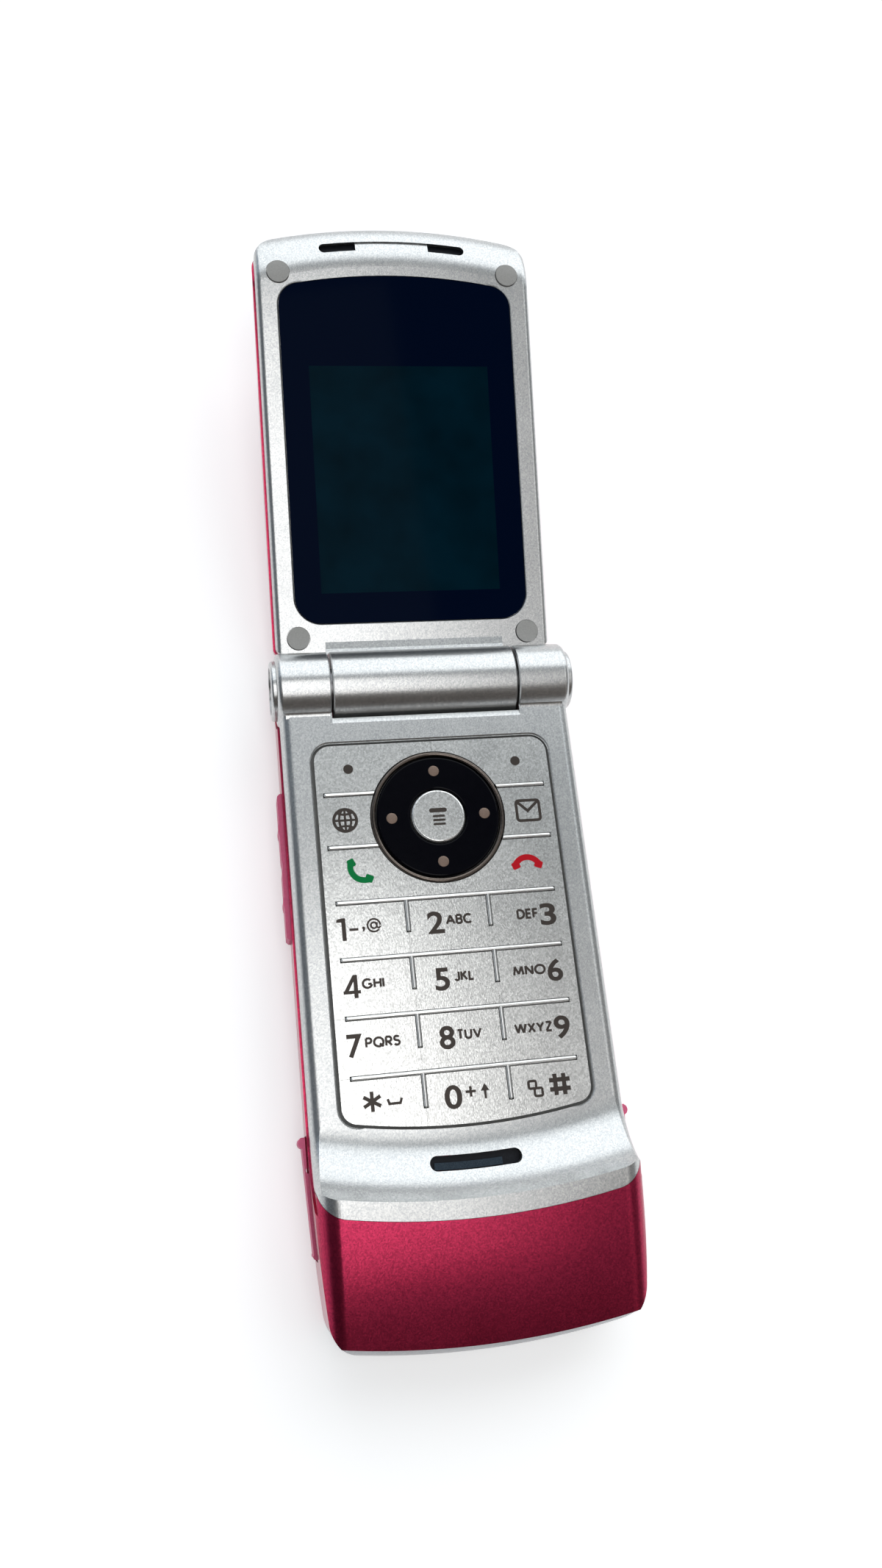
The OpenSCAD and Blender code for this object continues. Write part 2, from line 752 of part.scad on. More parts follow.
module battery() color(dark) base_place() difference() {
  translate([0, battery_top_y - battery_len / 2, door_t + 0.15]) linear_extrude(height = battery_t)
    round_box(battery_w, battery_len, 1.5);
  for (x = [-4, 0, 4])
    box(x - 0.9, x + 0.9, battery_top_y - 0.25, battery_top_y + 1, door_t + battery_t - 2.4, 20);
}

module battery_contacts() color(gold) base_place() {
  for (x = [-4, 0, 4]) {
    box(x - 0.6, x + 0.6, battery_top_y - 0.1, battery_top_y + 0.4, bay_top - 2, board_z - 0.02);
    box(x - 0.6, x + 0.6, battery_top_y - 0.1, battery_top_y + 1.1, board_z - 0.4, board_z - 0.02);
  }
}

module main_board() color(green) base_place() difference() {
  translate([0, 0, board_z]) linear_extrude(height = board_t)
    bowed_plan(front_half - 1.6, pad_top - 0.6, scoop_start + 0.9, 2, 2);
  both_sides() translate([screw_near[0], -screw_near[1], 0]) cylinder(r = 2.2, h = 20);
}

function key_middles() = concat(
  [for (i = [0 : 3], x = [-1, 0, 1]) [x * (pad_w / 2 + column_x) / 2, -rows[i] - row_pitch / 2]],
  [for (y = [13.4, 21.3, 29.3], x = [-13, 13]) [x, -y]],
  [for (a = [0 : 90 : 270]) [6.4 * cos(a), 6.4 * sin(a) - nav_at]],
  [[0, -nav_at]]);

module dome_sheet() color(steel) base_place() {
  translate([0, 0, dome_z]) linear_extrude(height = dome_t)
    bowed_plan(pad_w / 2 + 0.4, pad_top - 0.3, pad_end + 0.4, 2, 2);
  for (p = key_middles()) translate([p[0], p[1], dome_z]) cylinder(r = 1.8, h = dome_t + dome_h);
}

module keymat() color(grey) base_place() {
  translate([0, 0, mat_top - mat_t]) linear_extrude(height = mat_t)
    bowed_plan(front_half - 1.7, pad_top - 0.5, scoop_start + 0.8, 2, 2);
  translate([0, -nav_at, 0]) both_sides() difference() {
    box(pivot_r + 0.2, pivot_r + 0.8, -0.4, 0.4, mat_top - 0.1, pivot_z + pivot_t / 2);
    pin_slot(1);
  }
}

// Cut for a pivot pin along X, open above or below
module pin_slot(up) {
  r = pivot_pin_r + pivot_clear;
  translate([0, 0, pivot_z]) rod_x(r, 0, 20);
  box(0, 20, -r, r, up > 0 ? pivot_z : pivot_z - 2, up > 0 ? pivot_z + 2 : pivot_z);
}

// Keypad

// Room that the ridges take in the keys
module ridge_lines(extra) {
  w = ridge_w + 2 * extra;
  for (y = rows) {
    translate([-ridge_half - extra, -y - w / 2]) square([2 * ridge_half + 2 * extra, w]);
    for (s = [-1, 1])
      translate([s * column_x - w / 2, -y - ridge_drop - extra]) square([w, ridge_drop + extra]);
  }
  for (y = side_ridges, s = [0, 1]) mirror([s, 0])
    translate([trim_r - 1, -y - w / 2]) square([ridge_half + 1.5 + extra - trim_r, w]);
}

module ridge_section(h) {
  half = ridge_w / 2;
  translate([-half, mat_top]) square([ridge_w, base_h + h - half - mat_top]);
  translate([0, base_h + h - half]) circle(half);
}

// One bead of the ridges from point to point, with round ends
module bead(a, b, h) {
  half = ridge_w / 2;
  for (p = [a, b]) {
    translate([p[0], p[1], mat_top]) cylinder(r = half, h = base_h + h - half - mat_top);
    translate([p[0], p[1], base_h + h - half]) sphere(half);
  }
  if (a[1] == b[1]) translate([(a[0] + b[0]) / 2, a[1], 0]) along_x(abs(b[0] - a[0])) ridge_section(h);
  else translate([a[0], 0, 0]) along_y(min(a[1], b[1]), max(a[1], b[1])) ridge_section(h);
}

module key_ridges() color(silver) base_place() difference() {
  half = ridge_w / 2;
  union() {
    for (y = rows) {
      bead([half - ridge_half, -y], [ridge_half - half, -y], ridge_h);
      for (s = [-1, 1]) bead([s * column_x, -y - ridge_drop + half], [s * column_x, -y], ridge_h - 0.03);
    }
    for (y = side_ridges, s = [-1, 1])
      bead([s * (trim_r - 1), -y], [s * (ridge_half + 0.5 - half), -y], ridge_h);
  }
  translate([0, -nav_at, 0]) cylinder(r = trim_r + ridge_clear, h = 30);
}

module key_solid(x0, x1, y0, y1) base_place() {
  translate([0, 0, base_h - key_t]) linear_extrude(height = key_t) difference() {
    intersection() {
      translate([x0 + key_gap, y0 + key_gap]) square([x1 - x0 - 2 * key_gap, y1 - y0 - 2 * key_gap]);
      pad_plan(pad_clear);
    }
    ridge_lines(ridge_clear);
    translate([0, -nav_at]) circle(trim_r + ridge_clear);
  }
}

module number_key(row, column) color(silver) {
  x = [-pad_w, -column_x, column_x, pad_w];
  low = row == 3 ? -pad_end - 5 : -rows[row] - row_pitch;
  key_solid(x[column], x[column + 1], low, -rows[row]);
}

module side_key(side, row) color(silver) {
  y = [0, side_ridges[0], side_ridges[1], row_top];
  mirror([side, 0, 0]) key_solid(0, pad_w, -y[row + 1], -y[row]);
}

module soft_key_left() side_key(1, 0);
module soft_key_right() side_key(0, 0);
module browser_key() side_key(1, 1);
module message_key() side_key(0, 1);
module send_key() side_key(1, 2);
module end_key() side_key(0, 2);
module key_1() number_key(0, 0);
module key_2() number_key(0, 1);
module key_3() number_key(0, 2);
module key_4() number_key(1, 0);
module key_5() number_key(1, 1);
module key_6() number_key(1, 2);
module key_7() number_key(2, 0);
module key_8() number_key(2, 1);
module key_9() number_key(2, 2);
module key_star() number_key(3, 0);
module key_0() number_key(3, 1);
module key_hash() number_key(3, 2);

module tube(r_out, r_in, z0, z1) translate([0, -nav_at, z0]) difference() {
  cylinder(r = r_out, h = z1 - z0);
  translate([0, 0, -1]) cylinder(r = r_in, h = z1 - z0 + 2);
}

module nav_trim() color(bronze) base_place() translate([0, -nav_at, 0]) rotate_extrude() {
  half = trim_w / 2;
  translate([trim_r - trim_w, mat_top]) square([trim_w, base_h + 0.2 - half - mat_top]);
  translate([trim_r - half, base_h + 0.2 - half]) circle(half);
}

module nav_pivot() color(grey) base_place() {
  tube(pivot_r, ring_in_r + 0.2, pivot_z - pivot_t / 2, pivot_z + pivot_t / 2);
  for (a = [0 : 90 : 270]) translate([0, -nav_at, pivot_z]) rotate([0, 0, a])
    rod_x(pivot_pin_r, pivot_r - 0.3, pivot_r + 0.9);
}

module nav_ring() color(dark) base_place() translate([0, -nav_at, 0]) {
  low = mat_top + 0.66;
  top = base_h + 0.15;
  soft = 0.3;
  rotate_extrude() {
    translate([ring_in_r, low]) square([ring_out_r - ring_in_r, top - soft - low]);
    translate([ring_in_r + soft, low]) square([ring_out_r - ring_in_r - 2 * soft, top - low]);
    for (r = [ring_in_r + soft, ring_out_r - soft]) translate([r, top - soft]) circle(soft);
  }
  for (a = [90, 270]) rotate([0, 0, a]) difference() {
    box(pivot_r + 0.2, pivot_r + 0.8, -0.4, 0.4, pivot_z - pivot_t / 2, low + 0.1);
    pin_slot(-1);
  }
}

module select_key() color(silver) base_place() {
  top = base_h + 0.3;
  translate([0, -nav_at, 0]) rotate_extrude() {
    translate([0, base_h - key_t]) square([select_r - 0.3, top - base_h + key_t]);
    translate([0, base_h - key_t]) square([select_r, top - 0.3 - base_h + key_t]);
    translate([select_r - 0.3, top - 0.3]) circle(0.3);
  }
}

// Side pieces

module volume_rocker() color(rubber_pink) base_place() {
  mid = rocker_top + rocker_len / 2;
  inner = rear_half - rocker_pocket + 0.3;
  outer = rear_half + rocker_out;
  translate([0, -mid, rocker_z - rocker_h / 2]) linear_extrude(height = rocker_h) difference() {
    union() {
      translate([-outer, -rocker_len / 2]) square([outer - inner, rocker_len]);
      for (s = [-1, 1]) translate([2.35 - outer, s * rocker_len / 4]) circle(2.5);
    }
    translate([-inner, -rocker_len]) square([30, 2 * rocker_len]);
    translate([-outer - 3.88, 0]) circle(4);
    for (s = [-1, 1]) translate([-outer, s * rocker_len / 2]) rotate(45) square(0.5, center = true);
  }
  translate([-rocker_pin_x, -mid, rocker_z - rocker_h / 2 - 0.4])
    cylinder(r = rocker_pin_r, h = rocker_h + 0.8);
}

module flap_leaf() {
  half_h = flap_h / 2;
  outer = rear_half + flap_out;
  translate([0, 0, flap_z - half_h]) linear_extrude(height = flap_h) difference() {
    polygon([[10, -flap_top], [outer, -flap_top], [flap_pin_x + 0.3, -flap_pin_y], [10, -flap_pin_y]]);
    base_plan(rear_half - flap_pocket + 0.08, base_len);
    translate([rear_half - 2, -flap_top - nail_gap]) square([2.2, nail_gap + 1]);
    translate([rear_half - 0.1, -flap_top - nail_gap]) circle(0.45);
  }
  translate([flap_pin_x, -flap_pin_y, flap_z - half_h]) cylinder(r = 0.4, h = flap_h);
  intersection() {
    translate([outer - 0.3, -flap_top - 0.75, flap_z - half_h]) cylinder(r = 0.75, h = flap_h);
    box(rear_half + 0.2, 30, -flap_top - 2, -flap_top, 0, 30);
  }
}

module usb_flap() color(rubber_pink) base_place() {
  mirror([1, 0, 0]) {
    flap_leaf();
    box(rear_half - 1.4, rear_half - 0.3, -port_at - 2.6, -port_at + 2.8, flap_z - 1, flap_z + 1);
  }
}

module headset_flap() color(rubber_pink) base_place() {
  flap_leaf();
  translate([0, -port_at, flap_z]) rod_x(1, rear_half - 1.3, rear_half - 0.3);
}

module usb_socket() color(steel) base_place() difference() {
  box(2.1 - rear_half, 8.5 - rear_half, -port_at - 3.85, -port_at + 3.85, flap_z - 1.95, flap_z + 1.95);
  box(1 - rear_half, 7.9 - rear_half, -port_at - 3.45, -port_at + 3.45, flap_z - 1.55, flap_z + 1.55);
}

module headset_socket() color(dark) base_place() difference() {
  translate([0, -port_at, flap_z]) rod_x(2.6, rear_half - 9.3, rear_half - 1.9);
  translate([0, -port_at, flap_z]) rod_x(1.3, rear_half - 8.6, rear_half);
}

// Sound, motion and radio

module microphone() color(dark) base_place() {
  translate([0, -mic_at, split_z + seam]) cylinder(r = 2, h = base_h - 1.2 - split_z);
  translate([0, 0, base_h - 1.4]) linear_extrude(height = 1.2)
    slot_plan(mic_slot_w - 0.1, mic_slot_h - 0.1, mic_at);
}

module loudspeaker() color(dark) base_place() translate([speaker[0], speaker[1], 2.02])
  cylinder(r = 4.6, h = 4);

module vibration_motor() color(steel) base_place() {
  translate([0, -83.4, 4.05]) rod_x(2, -13, -4.5);
  translate([0, -83.4, 4.05]) rod_x(0.5, -4.6, -2.9);
}

module antenna() color(dark) base_place() {
  translate([0, 0, split_z - 2]) linear_extrude(height = 2.6) intersection() {
    translate([-13.6, -chin_len + 5]) square([27.2, 6]);
    translate([0, bow]) circle(bow + cap_line - 2.4);
  }
}

module base_screws() color(steel) base_place() both_sides() {
  translate([screw_near[0], -screw_near[1], 2]) cylinder(r = screw_r, h = split_z - 1);
  translate([screw_near[0], -screw_near[1], 0.9]) cylinder(r = 1.4, h = 1.1);
  translate([screw_chin[0], -screw_chin[1], 2]) cylinder(r = screw_r, h = split_z);
  translate([screw_chin[0], -screw_chin[1], 0.9 + door_t / 4]) cylinder(r = 1.4, h = 1.1 - door_t / 4);
}

// Hinge

module hinge_cam_shaft() color(steel) base_place() translate([0, 0, hinge_z]) {
  rod_x(hinge_bore_r - run_clear, knuckle_x, barrel_w / 2 - 1.9);
  rod_x(hinge_bore_r - 0.8, lid_knuckle_w / 2 - 4.5, knuckle_x + 0.5);
}

module hinge_bush() color(steel) base_place() translate([0, 0, hinge_z]) difference() {
  rod_x(hinge_bore_r - run_clear, 1.9 - barrel_w / 2, -6);
  rod_x(hinge_bore_r - 0.9, -30, 0);
}

module hinge_end_caps() color(silver) base_place() translate([0, 0, hinge_z]) both_sides() {
  rod_x(hinge_bore_r - run_clear, barrel_w / 2 - 1.8, barrel_w / 2);
  translate([barrel_w / 2 - 0.8 + seam, 0, 0]) rotate([0, 90, 0]) rotate_extrude() {
    len = (cap_w - barrel_w) / 2 + 0.8 - seam;
    difference() {
      union() {
        square([cap_r, len - 0.4]);
        square([cap_r - 0.4, len]);
        translate([cap_r - 0.4, len - 0.4]) circle(0.4);
      }
      translate([0, len - 0.25]) square([cap_r - 1, 1]);
    }
  }
}

module flex_cable() color(gold) base_place() translate([0, 0, hinge_z]) difference() {
  rod_x(hinge_bore_r - 1.0, 2.2 - barrel_w / 2, -1);
  rod_x(hinge_bore_r - 1.25, -30, 0);
}

module hinge_cartridge() color(steel) lid_place() difference() {
  rod_x(hinge_bore_r - run_clear, 0.4, lid_knuckle_w / 2);
  rod_x(hinge_bore_r - 0.7, 1.2, 30);
}

// Coil drawn as a swept ring of points
module hinge_spring() color(steel) lid_place() {
  turns = 5;
  sides = 8;
  steps = 16 * turns;
  wire = 0.3;
  coil = hinge_bore_r - 1.15;
  x0 = 1.6;
  pitch = (lid_knuckle_w / 2 - 4.6 - wire - x0) / turns;
  ring = [for (i = [0 : steps], j = [0 : sides - 1])
    let (a = 360 * i / 16, b = 360 * j / sides, r = coil + wire * cos(b))
    [x0 + pitch * i / 16 + wire * sin(b), r * cos(a), r * sin(a)]];
  walls = [for (i = [0 : steps - 1], j = [0 : sides - 1])
    let (k = (j + 1) % sides)
    [i * sides + j, i * sides + k, (i + 1) * sides + k, (i + 1) * sides + j]];
  ends = [[for (j = [sides - 1 : -1 : 0]) j], [for (j = [0 : sides - 1]) steps * sides + j]];
  polyhedron(ring, concat(walls, ends));
}

// Lid

module bezel_profile() {
  translate([12, lid_split]) square([band_r - 12, bezel_t]);
  intersection() {
    difference() {
      translate([band_r, scoop_w]) circle(lid_scoop_r);
      translate([band_r, scoop_w]) circle(lid_scoop_r - bezel_t);
    }
    translate([band_r, -30]) square([20, 30]);
  }
}

module cover_profile() {
  translate([12, -30]) square([band_r - 12, 30 + lid_split - seam]);
  intersection() {
    translate([band_r, scoop_w]) circle(lid_scoop_r - bezel_t - seam);
    translate([band_r, -30]) square([20, 30]);
  }
}

// Rounds the bezel's long edges on the flat and down to the tip
module lid_edge_cuts() both_sides() {
  half = lid_w / 2;
  side_v = sqrt(pow(band_r, 2) - pow(half, 2)) - bow;
  along_y(0, side_v) translate([half - lid_edge_r, face_w - lid_edge_r]) edge_cut(lid_edge_r);
  intersection() {
    translate([0, side_v, scoop_w]) rotate([0, 90, 0]) rotate_extrude()
      translate([lid_scoop_r - lid_edge_r, half - lid_edge_r]) edge_cut(lid_edge_r);
    box(-big, big, side_v, side_v + 30, scoop_w, 5);
  }
}

module edge_cut(r) difference() {
  square(r + 3);
  circle(r);
}

module lid_inner_bezel() color(silver) lid_place() difference() {
  union() {
    difference() {
      intersection() {
        translate([0, 0, -20]) linear_extrude(height = 20) lid_plan(lid_w / 2, 0);
        lid_bowed() bezel_profile();
        lid_crown(crown_r, lid_w / 2, 1);
      }
      lid_edge_cuts();
      translate([0, 0, lens_top - lens_t]) linear_extrude(height = 5) lens_plan(-lens_clear);
      translate([0, 0, face_w]) mirror([0, 1, 0]) lens_rim_bevel(lens_clear);
      lcd_mid = lcd_low + lcd_h / 2;
      translate([0, lcd_mid, -20]) linear_extrude(height = 20) round_box(lcd_w + 1.2, lcd_h + 1.2, 0.8);
      translate([0, lcd_mid + 1.5, -20]) linear_extrude(height = 20 + lcd_z + seam)
        round_box(lcd_w + 3.6, lcd_h + 5.6, 0.7);
      difference() {
        translate([0, 0, -20]) linear_extrude(height = 20) mirror([0, 1]) slot_plan(ear_w, ear_h, ear_at);
        lid_bowed() translate([band_r, scoop_w]) circle(ear_r);
      }
      for (p = lid_spots) {
        translate([p[0], p[1], face_w - 0.6]) cylinder(r = bumper_r + bumper_clear, h = 5);
        translate([p[0], p[1], -20]) cylinder(r = lid_screw_r + 0.15, h = 20);
        translate([p[0], p[1], lid_screw_top - 0.9]) cylinder(r = 1.35, h = 5);
      }
    }
    lid_knuckle();
    along_x(lid_knuckle_w) tab_section();
  }
  rod_x(hinge_bore_r, -30, 30);
}

module lid_knuckle() {
  c = knuckle_chamfer;
  w = lid_knuckle_w;
  translate([-w / 2, 0, 0]) rotate([0, 90, 0]) rotate_extrude()
    polygon([[0, 0], [barrel_r - c, 0], [barrel_r, c], [barrel_r, w - c], [barrel_r - c, w], [0, w]]);
}

// Strip that slopes from the knuckle down to the bezel face
module tab_section() {
  lip = sqrt(pow(barrel_r + trough_clear, 2) - hinge_drop * hinge_drop) + 1;
  polygon([[2, lid_split], [tab_end, lid_split], [tab_end, face_w + 0.04], [lip, face_w + tab_h],
    [5, face_w + tab_h + 0.45], [2, face_w + tab_h + 0.45]]);
}

module lens_plan(inset) {
  half = lens_w / 2 - inset;
  mirror([0, 1])
    bowed_plan(half, lens_low + inset, lens_high - inset, lens_near_r - inset, lens_far_r - inset);
}

module lens_rim_bevel(grow) {
  near_r = lens_near_r + grow;
  bowed_bevel(lens_w / 2 + grow, lens_low - grow, lens_high + grow, near_r, lens_far_r + grow, lens_bevel);
}

module lid_outer_cover() color(pink) lid_place() difference() {
  union() {
    difference() {
      intersection() {
        translate([0, 0, -20]) linear_extrude(height = 20) lid_plan(cover_w / 2, 0);
        lid_bowed() cover_profile();
        lid_crown(crown_r, cover_w / 2, cover_edge_r);
      }
      intersection() {
        translate([0, 0, -20]) linear_extrude(height = 20) lid_plan(cover_w / 2, cover_wall);
        lid_bowed() translate([12, -30]) square([band_r + 2.5 - 12, 30]);
        lid_crown(crown_r - cover_wall, cover_w / 2 - cover_wall, cover_edge_r - cover_wall);
      }
    }
    for (p = lid_spots) intersection() {
      translate([p[0], p[1], -20]) cylinder(r = 1.9, h = 20 + lid_split - seam);
      lid_bowed() cover_profile();
      lid_crown(crown_r - cover_wall / 2, cover_w / 2 - 0.3, cover_edge_r);
    }
  }
  rod_x(barrel_r + 0.3, -lid_knuckle_w / 2 - 1, lid_knuckle_w / 2 + 1);
  for (p = lid_spots) translate([p[0], p[1], lid_split - 2.6])
    cylinder(r = lid_screw_r + screw_clear, h = 5);
  difference() {
    translate([0, outer_at, -20]) linear_extrude(height = 16) round_box(outer_w, outer_h, 2);
    lid_crown(crown_r - outer_t, 30, 1);
  }
  translate([0, outer_at, -20]) linear_extrude(height = 14) round_box(outer_w - 5, outer_h - 3, 1);
}

module display_lens() color(dark) lid_place() translate([0, 0, lens_top - lens_t])
  linear_extrude(height = lens_t) lens_plan(0);

module display_panel() color(steel) lid_place()
  translate([0, lcd_low + lcd_h / 2 + 1.5, lcd_z - lcd_t]) linear_extrude(height = lcd_t)
    round_box(lcd_w + 3.4, lcd_h + 5.4, 0.6);

module ear_fill(inner, outer, x0, x1) intersection() {
  lid_bowed() difference() {
    translate([band_r, scoop_w]) circle(outer);
    translate([band_r, scoop_w]) circle(inner);
    translate([band_r - 20, -40]) square([20, 60]);
  }
  translate([0, 0, -20]) linear_extrude(height = 20) mirror([0, 1])
    slot_plan(ear_w - 0.1, ear_h - 0.1, ear_at);
  box(x0, x1, 0, 100, scoop_w, 0);
}

module earpiece_insert() color(silver) lid_place()
  ear_fill(ear_r, lid_scoop_r - 0.25, -ear_insert_w / 2, ear_insert_w / 2);

module earpiece_mesh() color(dark) lid_place() both_sides()
  ear_fill(ear_r, ear_r + 0.3, ear_insert_w / 2 + seam, ear_w);

module earpiece_speaker() color(dark) lid_place() translate([0, 60, lid_split - seam - 2.2])
  linear_extrude(height = 2.2) round_box(15, 7, 3);

module lid_bumpers() color(grey) lid_place() intersection() {
  for (p = lid_spots) translate([p[0], p[1], face_w - 0.6]) cylinder(r = bumper_r, h = 2);
  lid_bowed() {
    translate([12, -30]) square([band_r - 12, 30 + face_w + bumper_h]);
    intersection() {
      translate([band_r, scoop_w]) circle(lid_scoop_r + bumper_h);
      translate([band_r, -30]) square([20, 30]);
    }
  }
}

module lid_screws() color(steel) lid_place() for (p = lid_spots) {
  translate([p[0], p[1], lid_screw_top - 0.9]) cylinder(r = 1.25, h = 0.8);
  translate([p[0], p[1], lid_split - 2]) cylinder(r = lid_screw_r, h = lid_screw_top - 0.8 - lid_split + 2);
}

module lid_board() color(green) lid_place()
  translate([0, lcd_low + lcd_h / 2 + 1, lid_board_z - lid_board_t]) linear_extrude(height = lid_board_t)
    round_box(lcd_w + 2, lcd_h + 4, 1);

module outer_window() color(dark) lid_place() intersection() {
  translate([0, outer_at, -20]) linear_extrude(height = 16) round_box(outer_w - 0.1, outer_h - 0.1, 1.95);
  difference() {
    lid_crown(crown_r, 30, 1);
    lid_crown(crown_r - outer_t + seam / 2, 30, 1);
  }
}

module outer_display() color(steel) lid_place()
  translate([0, outer_at, lid_board_z - lid_board_t - 1.3]) linear_extrude(height = 1.25)
    round_box(outer_w - 2, outer_h - 1, 0.5);

front_housing();
rear_housing();
chin_cover();
battery_door();
battery();
battery_contacts();
main_board();
dome_sheet();
keymat();
key_ridges();
nav_trim();
nav_pivot();
nav_ring();
select_key();
soft_key_left();
soft_key_right();
browser_key();
message_key();
send_key();
end_key();
key_1();
key_2();
key_3();
key_4();
key_5();
key_6();
key_7();
key_8();
key_9();
key_star();
key_0();
key_hash();
volume_rocker();
usb_flap();
headset_flap();
usb_socket();
headset_socket();
microphone();
loudspeaker();
vibration_motor();
antenna();
base_screws();
hinge_cam_shaft();
hinge_bush();
hinge_end_caps();
flex_cable();
hinge_cartridge();
hinge_spring();
lid_inner_bezel();
lid_outer_cover();
display_lens();
display_panel();
earpiece_insert();
earpiece_mesh();
earpiece_speaker();
lid_bumpers();
lid_screws();
lid_board();
outer_window();
outer_display();
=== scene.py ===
"""Looks of the flip phone: finishes, printed legends, small fittings, light and camera."""

import json
import math

import bmesh
import bpy
from mathutils import Matrix, Vector


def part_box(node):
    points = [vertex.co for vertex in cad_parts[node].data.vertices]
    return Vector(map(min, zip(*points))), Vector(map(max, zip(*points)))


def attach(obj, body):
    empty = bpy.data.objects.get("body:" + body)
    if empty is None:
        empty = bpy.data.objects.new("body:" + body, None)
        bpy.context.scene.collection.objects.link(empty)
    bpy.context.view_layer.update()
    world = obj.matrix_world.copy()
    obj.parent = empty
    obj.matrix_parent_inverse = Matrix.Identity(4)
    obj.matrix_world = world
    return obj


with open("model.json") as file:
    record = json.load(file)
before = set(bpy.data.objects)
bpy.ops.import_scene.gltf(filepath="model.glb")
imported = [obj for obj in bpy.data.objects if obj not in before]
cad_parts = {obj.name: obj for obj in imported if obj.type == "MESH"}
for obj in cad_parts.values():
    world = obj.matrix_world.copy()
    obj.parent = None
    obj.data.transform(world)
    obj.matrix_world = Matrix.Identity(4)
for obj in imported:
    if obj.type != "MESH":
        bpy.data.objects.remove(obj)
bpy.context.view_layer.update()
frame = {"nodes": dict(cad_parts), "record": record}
nodes = frame["nodes"]

MM = 0.001
HINGE_Y = 44.0
INK_T = 0.03
INK_SUNK = 0.4
LAYER = 0.004
BUMP_DEPTH = 0.05 * MM
ROUGHNESS_SPREAD = 0.05
GRAIN_TURN = 0.5
SMEARS_PER_M = 90.0
COAT_ROUGHNESS = 0.12


# Node helpers

def new_material(name):
    mat = bpy.data.materials.new(name)
    mat.use_nodes = True
    tree = mat.node_tree
    return mat, tree, tree.nodes["Principled BSDF"]


def add(tree, kind, **values):
    node = tree.nodes.new(kind)
    for key, value in values.items():
        if key in node.inputs:
            node.inputs[key].default_value = value
        else:
            setattr(node, key, value)
    return node


def stretched(tree, scale, turn=0.0):
    coord = add(tree, "ShaderNodeTexCoord")
    mapping = add(tree, "ShaderNodeMapping", Scale=scale, Rotation=(0.0, 0.0, turn))
    tree.links.new(coord.outputs["Object"], mapping.inputs["Vector"])
    return mapping.outputs["Vector"]


def ramp_between(tree, factor, low, high, start=0.0, end=1.0):
    ramp = add(tree, "ShaderNodeValToRGB")
    first, last = ramp.color_ramp.elements
    first.position, last.position = start, end
    first.color, last.color = (*low, 1.0), (*high, 1.0)
    tree.links.new(factor, ramp.inputs["Fac"])
    return ramp.outputs["Color"]


def bump_from(tree, bsdf, height, strength):
    bump = add(tree, "ShaderNodeBump", Strength=strength, Distance=BUMP_DEPTH)
    tree.links.new(height, bump.inputs["Height"])
    tree.links.new(bump.outputs["Normal"], bsdf.inputs["Normal"])


def metal_paint(name, low, high, metallic, roughness, flake_mm, grain_mm, grain, coat=0.0, leather=1.0):
    """Metallic paint: random flakes vary the tone, a fine grain breaks up the reflections."""
    mat, tree, bsdf = new_material(name)
    flakes = add(tree, "ShaderNodeTexVoronoi", Scale=1.0)
    tree.links.new(stretched(tree, [1 / (flake_mm * MM)] * 3), flakes.inputs["Vector"])
    tone = ramp_between(tree, flakes.outputs["Color"], low, high, 0.1, 0.9)
    tree.links.new(tone, bsdf.inputs["Base Color"])
    step = 1 / (grain_mm * MM)
    noise = add(tree, "ShaderNodeTexNoise", Scale=1.0, Detail=2.0, Roughness=0.6)
    grain_at = stretched(tree, (step * leather, step / leather, step), GRAIN_TURN)
    tree.links.new(grain_at, noise.inputs["Vector"])
    bump_from(tree, bsdf, noise.outputs["Fac"], grain)
    smear = add(tree, "ShaderNodeTexNoise", Scale=SMEARS_PER_M, Detail=2.0)
    tree.links.new(stretched(tree, (1.0, 1.0, 1.0)), smear.inputs["Vector"])
    spread = add(tree, "ShaderNodeMapRange")
    spread.inputs["To Min"].default_value = roughness - ROUGHNESS_SPREAD
    spread.inputs["To Max"].default_value = roughness + ROUGHNESS_SPREAD
    tree.links.new(smear.outputs["Fac"], spread.inputs["Value"])
    tree.links.new(spread.outputs["Result"], bsdf.inputs["Roughness"])
    bsdf.inputs["Metallic"].default_value = metallic
    bsdf.inputs["Coat Weight"].default_value = coat
    bsdf.inputs["Coat Roughness"].default_value = COAT_ROUGHNESS
    return mat


def plain(name, low, high, roughness, grain_mm, grain, metallic=0.0, specular=0.5):
    """Plastic, rubber or metal with a grain of the given size."""
    mat, tree, bsdf = new_material(name)
    noise = add(tree, "ShaderNodeTexNoise", Scale=1.0, Detail=4.0, Roughness=0.6)
    tree.links.new(stretched(tree, [1 / (grain_mm * MM)] * 3), noise.inputs["Vector"])
    tree.links.new(ramp_between(tree, noise.outputs["Fac"], low, high, 0.3, 0.7), bsdf.inputs["Base Color"])
    bump_from(tree, bsdf, noise.outputs["Fac"], grain)
    bsdf.inputs["Roughness"].default_value = roughness
    bsdf.inputs["Metallic"].default_value = metallic
    bsdf.inputs["Specular IOR Level"].default_value = specular
    return mat


def step_at(tree, value, edge, above):
    test = add(tree, "ShaderNodeMath", operation="GREATER_THAN" if above else "LESS_THAN")
    tree.links.new(value, test.inputs[0])
    test.inputs[1].default_value = edge
    return test.outputs[0]


def both(tree, a, b):
    product = add(tree, "ShaderNodeMath", operation="MULTIPLY")
    tree.links.new(a, product.inputs[0])
    tree.links.new(b, product.inputs[1])
    return product.outputs[0]


LIT_MOTTLE_PER_M = 140.0
LIT_DIM = 0.6
LENS_ROUGHNESS = 0.06
LENS_SPECULAR = 0.01


